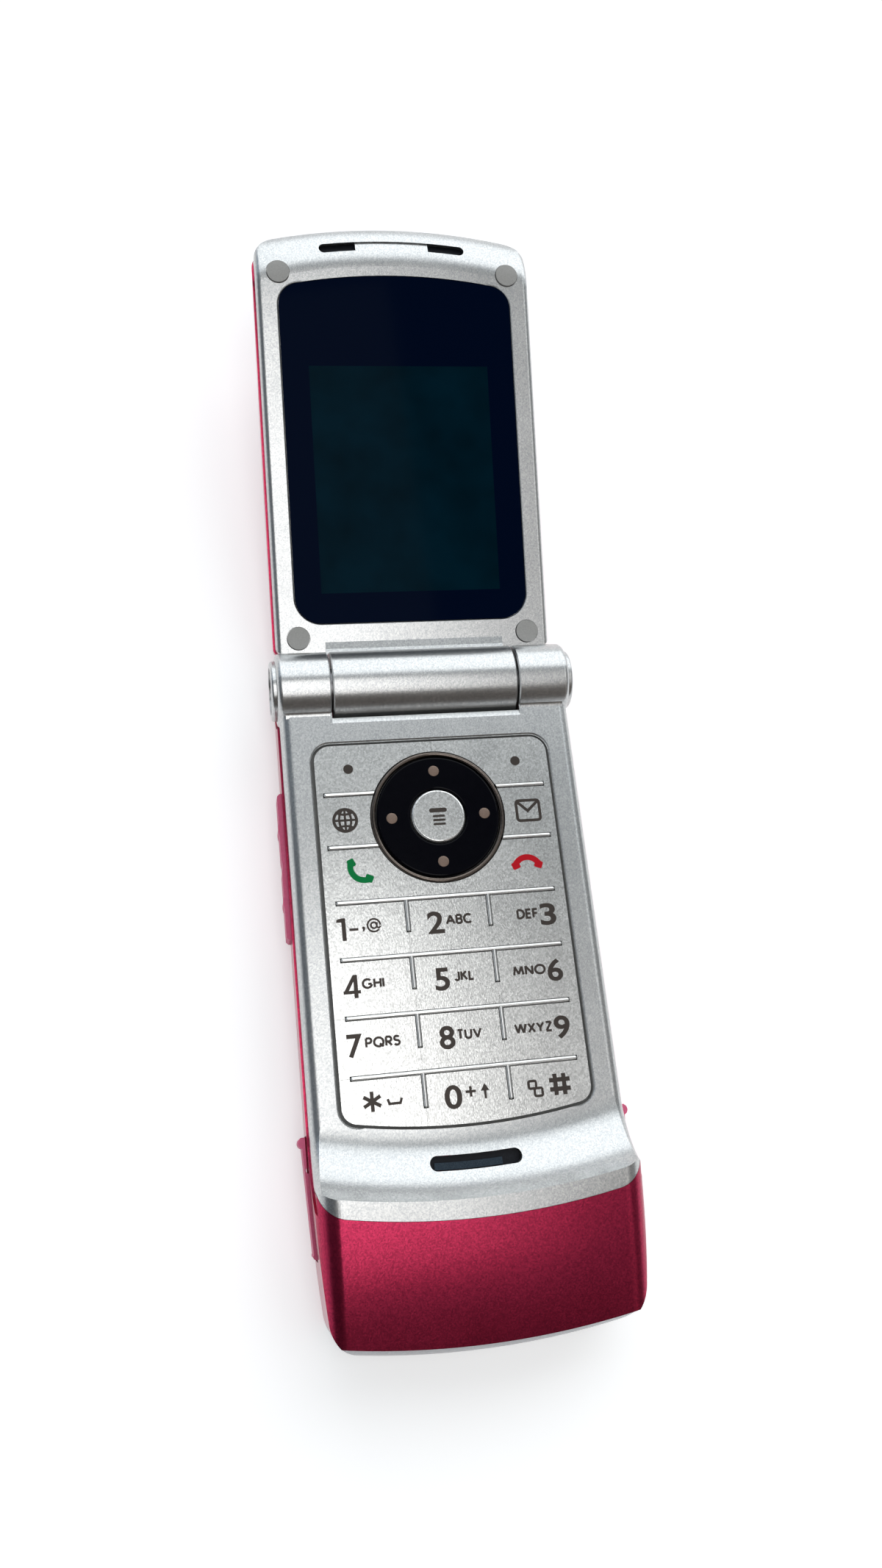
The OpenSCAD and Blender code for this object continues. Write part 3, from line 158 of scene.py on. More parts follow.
def lens_material(name, glass, lit, half_x, y_low, y_high):
    """Gloss dark lens with the display's lit area showing through as a slightly greener field."""
    mat, tree, bsdf = new_material(name)
    coord = add(tree, "ShaderNodeTexCoord")
    split = add(tree, "ShaderNodeSeparateXYZ")
    tree.links.new(coord.outputs["Object"], split.inputs[0])
    x, y = split.outputs["X"], split.outputs["Y"]
    across = both(tree, step_at(tree, x, -half_x, True), step_at(tree, x, half_x, False))
    along = both(tree, step_at(tree, y, y_low, True), step_at(tree, y, y_high, False))
    noise = add(tree, "ShaderNodeTexNoise", Scale=LIT_MOTTLE_PER_M, Detail=2.0)
    tree.links.new(coord.outputs["Object"], noise.inputs["Vector"])
    field = ramp_between(tree, noise.outputs["Fac"], [LIT_DIM * c for c in lit], lit, 0.3, 0.7)
    mix = add(tree, "ShaderNodeMix", data_type="RGBA")
    mix.inputs["A"].default_value = (*glass, 1.0)
    tree.links.new(both(tree, across, along), mix.inputs["Factor"])
    tree.links.new(field, mix.inputs["B"])
    tree.links.new(mix.outputs["Result"], bsdf.inputs["Base Color"])
    bsdf.inputs["Roughness"].default_value = LENS_ROUGHNESS
    bsdf.inputs["Specular IOR Level"].default_value = LENS_SPECULAR
    return mat


# Finishes

LID_TILT = math.radians(16.2)
LIT_HALF_WIDTH = 14.0
LIT_LOW, LIT_HIGH, LIT_DEPTH = 15.0, 50.0, -3.2


def lid_y(v, w):
    """Y in metres of a point on the tilted lid, v along it from the hinge and w out of its face."""
    return (HINGE_Y + v * math.cos(LID_TILT) - w * math.sin(LID_TILT)) * MM


SILVER = metal_paint("silver_paint", (0.46, 0.47, 0.475), (0.64, 0.64, 0.63),
                     metallic=0.9, roughness=0.25, flake_mm=0.17, grain_mm=0.16, grain=0.04)
KEY_SILVER = metal_paint("silver_keys", (0.52, 0.52, 0.51), (0.82, 0.82, 0.805),
                         metallic=0.9, roughness=0.21, flake_mm=0.22, grain_mm=0.32, grain=0.22, leather=1.6)
# Battery door silver, darker than the housing silver: painted shade that stands in for dark surroundings
# mirrored in the door
DOOR_SILVER_PAINTED_SHADE = metal_paint("door_silver_painted_shade", (0.22, 0.22, 0.235), (0.34, 0.34, 0.355),
                          metallic=0.9, roughness=0.28, flake_mm=0.17, grain_mm=0.16, grain=0.04)
# Key ridge silver, lighter than the keys: a painted highlight along the raised beads
RIDGE_SILVER_PAINTED_HIGHLIGHT = metal_paint("ridge_silver_painted_highlight", (0.72, 0.72, 0.71), (0.82, 0.82, 0.81),
                           metallic=0.9, roughness=0.22, flake_mm=0.16, grain_mm=0.13, grain=0.05)
PINK = metal_paint("pink_paint", (0.28, 0.0125, 0.049), (0.48, 0.0265, 0.083),
                   metallic=0.88, roughness=0.22, flake_mm=0.17, grain_mm=0.16, grain=0.06, coat=0.05)
RUBBER = plain("pink_rubber", (0.68, 0.100, 0.215), (0.78, 0.125, 0.265),
               roughness=0.5, grain_mm=0.25, grain=0.12)
LENS = lens_material("dark_lens", (0.0003, 0.0036, 0.0160), (0.0006, 0.0145, 0.0260),
                     LIT_HALF_WIDTH * MM, lid_y(LIT_LOW, LIT_DEPTH), lid_y(LIT_HIGH, LIT_DEPTH))
RING_BLACK = plain("ring_black", (0.0012, 0.0012, 0.003), (0.002, 0.002, 0.004),
                   roughness=0.08, grain_mm=1.5, grain=0.02, specular=0.08)
WINDOW_BLACK = plain("window_black", (0.002, 0.002, 0.004), (0.004, 0.004, 0.006),
                     roughness=0.08, grain_mm=1.5, grain=0.02)
BRONZE = plain("bronze_trim", (0.09, 0.073, 0.062), (0.16, 0.135, 0.12),
               roughness=0.16, grain_mm=0.3, grain=0.05, metallic=1.0)
GREY_RUBBER = plain("grey_rubber", (0.22, 0.22, 0.215), (0.30, 0.30, 0.29),
                    roughness=0.7, grain_mm=0.2, grain=0.15)
BUMPER = plain("bumper_rubber", (0.35, 0.345, 0.330), (0.44, 0.435, 0.415),
               roughness=0.6, grain_mm=0.2, grain=0.15)
DARK = plain("dark_plastic", (0.004, 0.005, 0.008), (0.009, 0.011, 0.016),
             roughness=0.55, grain_mm=0.25, grain=0.2, specular=0.2)
MIC_FELT = plain("mic_felt", (0.018, 0.027, 0.038), (0.055, 0.075, 0.095),
                 roughness=0.9, grain_mm=0.12, grain=0.5, specular=0.1)
BOARD = plain("board_green", (0.02, 0.12, 0.06), (0.04, 0.18, 0.09),
              roughness=0.45, grain_mm=0.6, grain=0.05)
PANEL = plain("display_panel", (0.02, 0.025, 0.03), (0.04, 0.045, 0.05),
              roughness=0.3, grain_mm=1.0, grain=0.02)
STEEL = plain("steel", (0.45, 0.45, 0.47), (0.60, 0.60, 0.62),
              roughness=0.3, grain_mm=0.2, grain=0.1, metallic=1.0)
GOLD = plain("contacts", (0.70, 0.50, 0.18), (0.80, 0.60, 0.26),
             roughness=0.25, grain_mm=0.3, grain=0.05, metallic=1.0)
INK = plain("legend_ink", (0.036, 0.028, 0.024), (0.060, 0.047, 0.040),
            roughness=0.35, grain_mm=0.10, grain=0.10, metallic=0.4, specular=0.3)
GREEN_INK = plain("green_ink", (0.0, 0.17, 0.040), (0.0, 0.23, 0.060),
                  roughness=0.5, grain_mm=0.12, grain=0.12, specular=0.1)
RED_INK = plain("red_ink", (0.48, 0.003, 0.010), (0.60, 0.006, 0.018),
                roughness=0.5, grain_mm=0.12, grain=0.12, specular=0.1)
NAV_DOT = plain("nav_dot", (0.13, 0.085, 0.062), (0.24, 0.165, 0.125),
                roughness=0.4, grain_mm=0.10, grain=0.2, metallic=0.3)

FINISH = {
    "silver_shell": SILVER, "silver_keys": KEY_SILVER, "pink_shell": PINK, "pink_rubber": RUBBER,
    "dark_lens": RING_BLACK, "bronze_trim": BRONZE, "grey_rubber": GREY_RUBBER, "dark_plastic": DARK,
    "board": BOARD, "display": PANEL, "steel": STEEL, "contacts": GOLD,
}
# The battery door's colour holds painted shade, and the key ridges' colour holds a painted highlight
OWN_FINISH = {
    "display_lens": LENS, "outer_window": WINDOW_BLACK, "key_ridges": RIDGE_SILVER_PAINTED_HIGHLIGHT,
    "battery_door": DOOR_SILVER_PAINTED_SHADE, "lid_bumpers": BUMPER,
}
SOFT_EDGE = {
    "lid_bumpers": 0.15, "volume_rocker": 0.3, "usb_flap": 0.2, "headset_flap": 0.2,
    "display_lens": 0.06, "outer_window": 0.06,
}
SOFT_SEGMENTS = 3
SOFT_ANGLE = math.radians(40)

slot_of = {part["node"]: part["material_slot"] for part in frame["record"]["subparts"]}
for name, obj in nodes.items():
    obj.data.materials.clear()
    obj.data.materials.append(OWN_FINISH.get(name, FINISH[slot_of[name]]))
    if name in SOFT_EDGE:
        soft = obj.modifiers.new("soft_edge", "BEVEL")
        soft.width = SOFT_EDGE[name] * MM
        soft.segments = SOFT_SEGMENTS
        soft.limit_method = "ANGLE"
        soft.angle_limit = SOFT_ANGLE


# Flat shapes for legends, in millimetres from the hinge axis

MITRE_LEAST = 0.4
MOST_STROKES = 4
TYPE_DEPTH = 0.01
TYPE_STEPS = 5
MERGE_WITHIN = 0.0001 * MM


def place(x, y, z):
    """A point in millimetres from the hinge axis, as one in metres in the shared frame."""
    return (x * MM, (HINGE_Y + y) * MM, z * MM)


def disc(x, y, r, count=40):
    angles = [2 * math.pi * i / count for i in range(count)]
    return [(x + r * math.cos(a), y + r * math.sin(a)) for a in angles]


def filled(points):
    """A shape is its points and its faces; this one is a single face."""
    return points, [list(range(len(points)))]


def stroke(points, width, closed=False):
    """One shape along a line of points, with mitred joints."""
    count = len(points)
    left, right = [], []
    for i, point in enumerate(points):
        here = Vector(point)
        back = (here - Vector(points[i - 1])).normalized() if i or closed else None
        ahead = (Vector(points[(i + 1) % count]) - here).normalized() if i + 1 < count or closed else None
        way = ((back or ahead) + (ahead or back)).normalized()
        normal = Vector((-way.y, way.x))
        reach = width / 2 / max(MITRE_LEAST, abs(way.dot(ahead or back)))
        left.append(tuple(here + normal * reach))
        right.append(tuple(here - normal * reach))
    faces = []
    for i in range(count if closed else count - 1):
        j = (i + 1) % count
        faces.append([count + i, count + j, j, i])
    return [(left + right, faces)]


def arc(x, y, rx, ry, start, end, count=32):
    angles = [math.radians(start + (end - start) * i / count) for i in range(count + 1)]
    return [(x + rx * math.cos(a), y + ry * math.sin(a)) for a in angles]


def rounded(x0, x1, y0, y1, r):
    points = []
    corners = ((x1 - r, y1 - r, 0), (x0 + r, y1 - r, 90), (x0 + r, y0 + r, 180), (x1 - r, y0 + r, 270))
    for cx, cy, start in corners:
        points += arc(cx, cy, r, r, start, start + 90, 8)
    return points


def outline(points, width):
    return stroke(points, width, closed=True)


def turned(shapes, x, y, degrees):
    c, s = math.cos(math.radians(degrees)), math.sin(math.radians(degrees))

    def spun(px, py):
        return x + (px - x) * c - (py - y) * s, y + (px - x) * s + (py - y) * c

    return [([spun(*point) for point in points], faces) for points, faces in shapes]


def handset(x, y, r):
    """A plain telephone handset lying level, ear and mouth pieces down, in two layers."""
    grip = stroke(arc(x, y - 0.72 * r, 0.98 * r, 1.05 * r, 30, 150), 0.41 * r)
    ends = []
    for side in (-1, 1):
        at_x, at_y = x + side * 0.8 * r, y - 0.22 * r
        half_x, half_y, corner = 0.28 * r, 0.25 * r, 0.1 * r
        block = filled(rounded(at_x - half_x, at_x + half_x, at_y - half_y, at_y + half_y, corner))
        ends += turned([block], at_x, at_y, side * -20)
    return [grip, ends]


def bowl(x, top, low, reach):
    """Round side of a letter, from the stem and back to it."""
    half = (top - low) / 2
    return [(0, top)] + arc(x, low + half, reach, half, 90, -90, 14) + [(0, low)]


STEM = [(0, 0), (0, 1)]
ROUND = disc(0.5, 0.5, 0.5)
S_CURVE = arc(0.28, 0.76, 0.26, 0.24, 25, 270, 18) + arc(0.28, 0.26, 0.28, 0.26, 90, -155, 18)[1:]
# Each capital has a width and its strokes, in shares of its height
ALPHABET = {
    "A": (0.92, [[(0, 0), (0.46, 1)], [(0.46, 1), (0.92, 0)], [(0.17, 0.34), (0.75, 0.34)]]),
    "B": (0.62, [STEM, bowl(0.34, 1, 0.54, 0.24), bowl(0.36, 0.54, 0, 0.26)]),
    "C": (0.84, [arc(0.5, 0.5, 0.5, 0.5, 48, 312)]),
    "D": (0.76, [STEM, bowl(0.26, 1, 0, 0.5)]),
    "E": (0.52, [[(0.52, 1), (0, 1), (0, 0), (0.52, 0)], [(0, 0.52), (0.48, 0.52)]]),
    "F": (0.50, [[(0.50, 1), (0, 1), (0, 0)], [(0, 0.52), (0.45, 0.52)]]),
    "G": (0.98, [arc(0.5, 0.5, 0.5, 0.5, 45, 348), [(0.58, 0.44), (0.98, 0.44)]]),
    "H": (0.68, [STEM, [(0.68, 0), (0.68, 1)], [(0, 0.52), (0.68, 0.52)]]),
    "I": (0.0, [STEM]),
    "J": (0.42, [[(0.42, 1), (0.42, 0.24)] + arc(0.21, 0.24, 0.21, 0.24, 0, -170, 12)[1:]]),
    "K": (0.62, [STEM, [(0.56, 1), (0.03, 0.48)], [(0.20, 0.62), (0.62, 0)]]),
    "L": (0.46, [[(0, 1), (0, 0), (0.46, 0)]]),
    "M": (0.96, [[(0, 0), (0.12, 1)], [(0.12, 1), (0.48, 0.1)],
                 [(0.48, 0.1), (0.84, 1)], [(0.84, 1), (0.96, 0)]]),
    "N": (0.70, [STEM, [(0, 1), (0.70, 0)], [(0.70, 0), (0.70, 1)]]),
    "O": (1.0, [ROUND]),
    "P": (0.56, [STEM, bowl(0.30, 1, 0.46, 0.26)]),
    "Q": (1.0, [ROUND, [(0.60, 0.32), (1.0, -0.04)]]),
    "R": (0.58, [STEM, bowl(0.30, 1, 0.46, 0.26), [(0.22, 0.46), (0.58, 0)]]),
    "S": (0.56, [S_CURVE]),
    "T": (0.56, [[(0, 1), (0.56, 1)], [(0.28, 1), (0.28, 0)]]),
    "U": (0.64, [[(0, 1)] + arc(0.32, 0.32, 0.32, 0.32, 180, 360, 14) + [(0.64, 1)]]),
    "V": (0.80, [[(0, 1), (0.40, 0)], [(0.40, 0), (0.80, 1)]]),
    "W": (1.20, [[(0, 1), (0.28, 0)], [(0.28, 0), (0.60, 1)],
                 [(0.60, 1), (0.92, 0)], [(0.92, 0), (1.20, 1)]]),
    "X": (0.70, [[(0, 0), (0.70, 1)], [(0, 1), (0.70, 0)]]),
    "Y": (0.72, [[(0, 1), (0.36, 0.46)], [(0.72, 1), (0.36, 0.46)], [(0.36, 0.5), (0.36, 0)]]),
    "Z": (0.62, [[(0, 1), (0.62, 1)], [(0.62, 1), (0, 0)], [(0, 0), (0.62, 0)]]),
}
LETTER_GAP = 0.30


def lettering(word, x0, x1, mid, height, width):
    """A word of plain capitals fitted to a box; each stroke of a letter lies in a layer of its own."""
    length = sum(ALPHABET[letter][0] for letter in word) + LETTER_GAP * (len(word) - 1)
    left, low = x0 + width / 2, mid - (height - width) / 2
    across, tall = (x1 - x0 - width) / length, height - width
    layers = [[] for _ in range(MOST_STROKES)]
    at = 0.0
    for letter in word:
        wide, lines = ALPHABET[letter]
        for layer, line in zip(layers, lines):
            points = [(left + (at + px) * across, low + py * tall) for px, py in line]
            layer += stroke(points, width, closed=line is ROUND)
        at += wide + LETTER_GAP
    return layers


def glyphs(mesh, text, x0, x1, y0, y1, z, bold):
    """Adds a line of type to the mesh, fitted to a box."""
    curve = bpy.data.curves.new("type", "FONT")
    curve.body = text
    curve.offset = bold
    curve.extrude = TYPE_DEPTH
    curve.resolution_u = TYPE_STEPS
    holder = bpy.data.objects.new("type", curve)
    bpy.context.scene.collection.objects.link(holder)
    bpy.context.view_layer.update()
    flat = bpy.data.meshes.new_from_object(holder.evaluated_get(bpy.context.evaluated_depsgraph_get()))
    low = [min(v.co[i] for v in flat.vertices) for i in range(3)]
    high = [max(v.co[i] for v in flat.vertices) for i in range(3)]
    for vertex in flat.vertices:
        share = [(vertex.co[i] - low[i]) / (high[i] - low[i]) for i in range(3)]
        px, py = x0 + share[0] * (x1 - x0), y0 + share[1] * (y1 - y0)
        vertex.co = place(px, py, z + (share[2] - INK_SUNK) * INK_T)
    mesh.from_mesh(flat)
    bpy.data.objects.remove(holder)
    bpy.data.curves.remove(curve)
    bpy.data.meshes.remove(flat)


def shapes_into(mesh, shapes, z):
    """Adds flat shapes to the mesh as thin closed plates."""
    for points, faces in shapes:
        low = [mesh.verts.new(place(px, py, z - INK_SUNK * INK_T)) for px, py in points]
        top = [mesh.verts.new(place(px, py, z + (1 - INK_SUNK) * INK_T)) for px, py in points]
        edges = {(face[k - 1], face[k]) for face in faces for k in range(len(face))}
        for face in faces:
            mesh.faces.new([top[k] for k in face])
            mesh.faces.new([low[k] for k in reversed(face)])
        for a, b in edges:
            if (b, a) not in edges:
                mesh.faces.new((low[a], low[b], top[b], top[a]))


def piece(name, mesh, body, material):
    data = bpy.data.meshes.new(name)
    bmesh.ops.remove_doubles(mesh, verts=mesh.verts, dist=MERGE_WITHIN)
    bmesh.ops.recalc_face_normals(mesh, faces=mesh.faces)
    mesh.to_mesh(data)
    mesh.free()
    data.materials.append(material)
    obj = bpy.data.objects.new(name, data)
    bpy.context.scene.collection.objects.link(obj)
    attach(obj, body)
    return obj


def legend(node, layers=(), lines=(), material=INK):
    """Printed marks on one key, riding on that key's body; shapes that cross lie in layers of their own."""
    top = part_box(node)[1][2] / MM
    mesh = bmesh.new()
    for i, shapes in enumerate(layers):
        shapes_into(mesh, shapes, top + LAYER * i)
    for text, x0, x1, mid, height, bold in lines:
        glyphs(mesh, text, x0, x1, mid - height / 2, mid + height / 2, top, bold)
    return piece("legend_" + node, mesh, node, material)


# Number keys

DIGIT_H = 3.2
LETTER_H = 1.5
LETTER_W = 0.32
MARK_W = 0.35
ICON_RIM_W = 0.42
ICON_LINE_W = 0.33
DIGIT_BOLD = 0.022
LETTER_RISE = 0.27
ROW_MID = [-36.98, -45.02, -53.06, -61.07]


def word_on(row, word, x0, x1):
    return lettering(word, x0, x1, ROW_MID[row] + LETTER_RISE, LETTER_H, LETTER_W)


def number(node, row, digit, digit_x, letters="", letters_x=(0, 0), layers=()):
    if letters:
        layers = word_on(row, letters, *letters_x)
    legend(node, layers, [(digit, *digit_x, ROW_MID[row], DIGIT_H, DIGIT_BOLD)])


ONE_STEM = filled(rounded(-15.32, -14.74, -38.6, -35.4, 0.1))
ONE_FLAG = filled([(-16.06, -35.98), (-15.3, -35.98), (-15.3, -35.4), (-15.95, -35.55)])
DASH = stroke([(-14.25, -37.1), (-13.0, -37.1)], MARK_W)
AT_X, AT_Y, AT_W = -10.79, -36.7, 0.26
AT_RIM = stroke(arc(AT_X, AT_Y, 0.9, 0.9, 0, 318), AT_W)
AT_MIDDLE = outline(disc(AT_X, AT_Y, 0.42, 24), AT_W)
AT_HOOK = arc(AT_X + 0.665, AT_Y - 0.12, 0.235, 0.25, 180, 360, 10)
AT_TAIL = stroke([(AT_X + 0.43, AT_Y + 0.42)] + AT_HOOK, AT_W)
ONE = [[ONE_STEM] + DASH + AT_RIM, [ONE_FLAG] + AT_MIDDLE, AT_TAIL]
legend("key_1", ONE, [(",", -12.46, -12.06, -37.15, 0.8, 0.03)])
number("key_2", 0, "2", (-3.17, -0.79), "ABC", (-0.55, 3.28))
number("key_3", 0, "3", (13.25, 15.6), "DEF", (9.81, 13.05))

FOUR_LOW, FOUR_TOP = ROW_MID[1] - DIGIT_H / 2, ROW_MID[1] + DIGIT_H / 2
FOUR_STEM = filled([(-14.33, FOUR_LOW), (-13.77, FOUR_LOW), (-13.77, FOUR_TOP), (-14.33, FOUR_TOP)])
FOUR_BAR = filled([(-15.8, -46.02), (-13.4, -46.02), (-13.4, -45.57), (-15.8, -45.57)])
FOUR_SLOPE = filled([(-15.8, -45.8), (-15.18, -45.8), (-13.8, FOUR_TOP), (-14.36, FOUR_TOP)])
FOUR = (FOUR_STEM, FOUR_BAR, FOUR_SLOPE)
legend("key_4", [layer + [shape] for layer, shape in zip(word_on(1, "GHI", -13.2, -10.03), FOUR)])
number("key_5", 1, "5", (-2.96, -0.85), "JKL", (-0.18, 2.72))
number("key_6", 1, "6", (13.25, 15.5), "MNO", (8.27, 13.05))
number("key_7", 2, "7", (-15.94, -13.8), "PQRS", (-13.45, -8.54))
number("key_8", 2, "8", (-3.17, -0.97), "TUV", (-0.7, 2.88))
number("key_9", 2, "9", (13.18, 15.48), "WXYZ", (7.5, 12.98))

PLUS_LEVEL = stroke([(-0.31, -60.54), (1.1, -60.54)], MARK_W)
PLUS_UPRIGHT = stroke([(0.4, -61.24), (0.4, -59.84)], MARK_W)
ARROW_STEM = stroke([(2.4, -61.65), (2.4, -60.4)], MARK_W)
ARROW_HEAD = filled([(1.8, -60.6), (3.0, -60.6), (2.4, -59.62)])
number("key_0", 3, "0", (-3.29, -0.84), layers=[PLUS_LEVEL + ARROW_STEM, PLUS_UPRIGHT + [ARROW_HEAD]])

STAR_X, STAR_Y, STAR_R, STAR_W = -13.15, -60.6, 1.33, 0.5
RAY = stroke([(STAR_X - STAR_R, STAR_Y), (STAR_X + STAR_R, STAR_Y)], STAR_W)
STAR = [turned(RAY, STAR_X, STAR_Y, turn) for turn in (90, 30, 150)]
SPACE = stroke([(-11.05, -60.45), (-10.85, -61.1), (-9.35, -61.1), (-9.12, -60.45)], MARK_W)
legend("key_star", STAR + [SPACE])

HASH_X, HASH_Y, HASH_W, HASH_APART = 12.97, -60.76, 0.6, 0.62
HASH_TALL, HASH_WIDE = 1.44, 1.47
HASH_UP, HASH_ACROSS = [], []
for at in (-HASH_APART, HASH_APART):
    HASH_UP += stroke([(HASH_X + at, HASH_Y - HASH_TALL), (HASH_X + at, HASH_Y + HASH_TALL)], HASH_W)
    HASH_ACROSS += stroke([(HASH_X - HASH_WIDE, HASH_Y + at), (HASH_X + HASH_WIDE, HASH_Y + at)], HASH_W)
COPY_BACK = outline(rounded(8.55, 9.6, -61.0, -60.0, 0.22), MARK_W)
COPY_FRONT = outline(rounded(9.3, 10.4, -62.05, -61.0, 0.22), MARK_W)
legend("key_hash", [HASH_UP + COPY_BACK, HASH_ACROSS + COPY_FRONT])


# Keys beside the ring

SOFT_DOT_R = 0.72
legend("soft_key_left", [[filled(disc(-12.48, -13.6, SOFT_DOT_R))]])
legend("soft_key_right", [[filled(disc(12.45, -13.65, SOFT_DOT_R))]])

GLOBE_X, GLOBE_Y, GLOBE_R, GLOBE_REACH = -13.55, -21.25, 1.64, 1.65
GLOBE_RIM = outline(disc(GLOBE_X, GLOBE_Y, GLOBE_R), ICON_RIM_W)
GLOBE_BANDS = stroke([(GLOBE_X - GLOBE_REACH, GLOBE_Y), (GLOBE_X + GLOBE_REACH, GLOBE_Y)], ICON_LINE_W)
for bend, start in ((-1, 45), (1, 225)):
    GLOBE_BANDS += stroke(arc(GLOBE_X, GLOBE_Y + bend * 2.3, 1.9, 1.45, start, start + 90), ICON_LINE_W)
GLOBE_AXIS = stroke([(GLOBE_X, GLOBE_Y - GLOBE_REACH), (GLOBE_X, GLOBE_Y + GLOBE_REACH)], ICON_LINE_W)
GLOBE_OVAL = outline(arc(GLOBE_X, GLOBE_Y, 0.85, GLOBE_R, 0, 360)[:-1], ICON_LINE_W)
legend("browser_key", [GLOBE_RIM, GLOBE_BANDS, GLOBE_AXIS, GLOBE_OVAL])

ENVELOPE = outline(rounded(11.75, 15.2, -22.9, -19.85, 0.4), ICON_RIM_W)
ENVELOPE_FOLD = stroke([(11.95, -20.05), (13.4, -21.45), (15.0, -20.05)], ICON_RIM_W)
legend("message_key", [ENVELOPE, ENVELOPE_FOLD])

SEND_X, END_X, CALL_Y, CALL_R, SEND_TURN = -12.34, 12.3, -29.1, 2.1, 135
SEND = [turned(layer, SEND_X, CALL_Y, SEND_TURN) for layer in handset(SEND_X, CALL_Y, CALL_R)]
legend("send_key", SEND, material=GREEN_INK)
legend("end_key", handset(END_X, CALL_Y, CALL_R), material=RED_INK)

MENU_BAR_HALF = 0.17
MENU = [filled(rounded(-1.3, 1.3, -20.95, -20.3, 0.3))]
for bar_y in (-21.5, -22.1, -22.7):
    MENU.append(filled(rounded(-0.85, 0.95, bar_y - MENU_BAR_HALF, bar_y + MENU_BAR_HALF, 0.15)))
legend("select_key", [MENU])


# Domed dots on the navigation ring

def dome(mesh, x, y, z, r, height, rings=6, count=32):
    """Adds a closed cap with its flat side down."""
    rows = []
    for i in range(rings):
        a = math.pi / 2 * i / rings
        rim = disc(x, y, r * math.cos(a), count)
        rows.append([mesh.verts.new(place(px, py, z + height * math.sin(a))) for px, py in rim])
    tip = mesh.verts.new(place(x, y, z + height))
    for low, high in zip(rows, rows[1:]):
        for k in range(count):
            mesh.faces.new((low[k], low[(k + 1) % count], high[(k + 1) % count], high[k])).smooth = True
    for k in range(count):
        mesh.faces.new((rows[-1][k], rows[-1][(k + 1) % count], tip)).smooth = True
    mesh.faces.new(list(reversed(rows[0])))


DOT_R, DOT_H, DOT_SUNK = 0.82, 0.1, 0.02
dots = bmesh.new()
ring_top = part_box("nav_ring")[1][2] / MM
for dot_x, dot_y in ((0.0, -14.6), (-6.82, -21.42), (6.85, -21.45), (0.05, -28.25)):
    dome(dots, dot_x, dot_y, ring_top - DOT_SUNK, DOT_R, DOT_H)
piece("nav_dots", dots, "nav_ring", NAV_DOT)


# Felt in the microphone slot

SLOT_CENTRE_Y = 24.5
FELT_LEFT, FELT_RIGHT = -5.6, 3.7
FELT_INNER_R, FELT_OUTER_R = 94.0, 94.95
FELT_SUNK, FELT_RISE = 0.1, 0.25


def felt_strip(x0, x1, inner, outer, z0, z1, count=24):
    """Strip along the bowed slot, its sides bowed about the same centre as the slot."""
    mesh = bmesh.new()
    rows = []
    for i in range(count + 1):
        x = x0 + (x1 - x0) * i / count
        near = SLOT_CENTRE_Y - math.sqrt(inner ** 2 - x * x)
        far = SLOT_CENTRE_Y - math.sqrt(outer ** 2 - x * x)
        corners = ((near, z0), (near, z1), (far, z1), (far, z0))
        rows.append([mesh.verts.new(place(x, y, z)) for y, z in corners])
    for a, b in zip(rows, rows[1:]):
        for k in range(4):
            mesh.faces.new((a[k], b[k], b[(k + 1) % 4], a[(k + 1) % 4]))
    mesh.faces.new(rows[0])
    mesh.faces.new(rows[-1])
    return mesh


mic_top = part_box("microphone")[1][2] / MM
felt = felt_strip(FELT_LEFT, FELT_RIGHT, FELT_INNER_R, FELT_OUTER_R, mic_top - FELT_SUNK, mic_top + FELT_RISE)
piece("mic_felt", felt, "base", MIC_FELT)


# Light and floor

def softbox(name, at, width, depth, power, turn):
    """Rectangular lamp that looks straight down."""
    light = bpy.data.lights.new(name, "AREA")
    light.shape = "RECTANGLE"
    light.size, light.size_y = width, depth
    light.energy = power
    obj = bpy.data.objects.new(name, light)
    obj.location = at
    obj.rotation_euler = (0.0, 0.0, math.radians(turn))
    bpy.context.scene.collection.objects.link(obj)


LAMP_AT = (0.025, -0.230, 1.0)
LAMP_WIDTH, LAMP_DEPTH = 0.36, 0.86
LAMP_WATTS = 1.886
LAMP_TURN = 8.0
softbox("overhead", LAMP_AT, LAMP_WIDTH, LAMP_DEPTH, LAMP_WATTS, LAMP_TURN)


def graded(tree, value, low, high, stops):
    """Colour by a value that runs from low to high."""
    span = add(tree, "ShaderNodeMapRange")
    span.inputs["From Min"].default_value = low
    span.inputs["From Max"].default_value = high
    tree.links.new(value, span.inputs["Value"])
    ramp = add(tree, "ShaderNodeValToRGB")
    elements = ramp.color_ramp.elements
    while len(elements) < len(stops):
        elements.new(0.5)
    for element, (at, color) in zip(elements, stops):
        element.position = (at - low) / (high - low)
        element.color = (*color, 1.0)
    tree.links.new(span.outputs["Result"], ramp.inputs["Fac"])
    return ramp.outputs["Color"]


def grey(level):
    return (level, level, level)


def mixed(tree, kind, a, b):
    mix = add(tree, "ShaderNodeMix", data_type="RGBA", blend_type=kind)
    mix.inputs["Factor"].default_value = 1.0
    tree.links.new(a, mix.inputs["A"])
    tree.links.new(b, mix.inputs["B"])
    return mix.outputs["Result"]


def larger(tree, a, b):
    test = add(tree, "ShaderNodeMath", operation="MAXIMUM")
    tree.links.new(a, test.inputs[0])
    tree.links.new(b, test.inputs[1])
    return test.outputs[0]


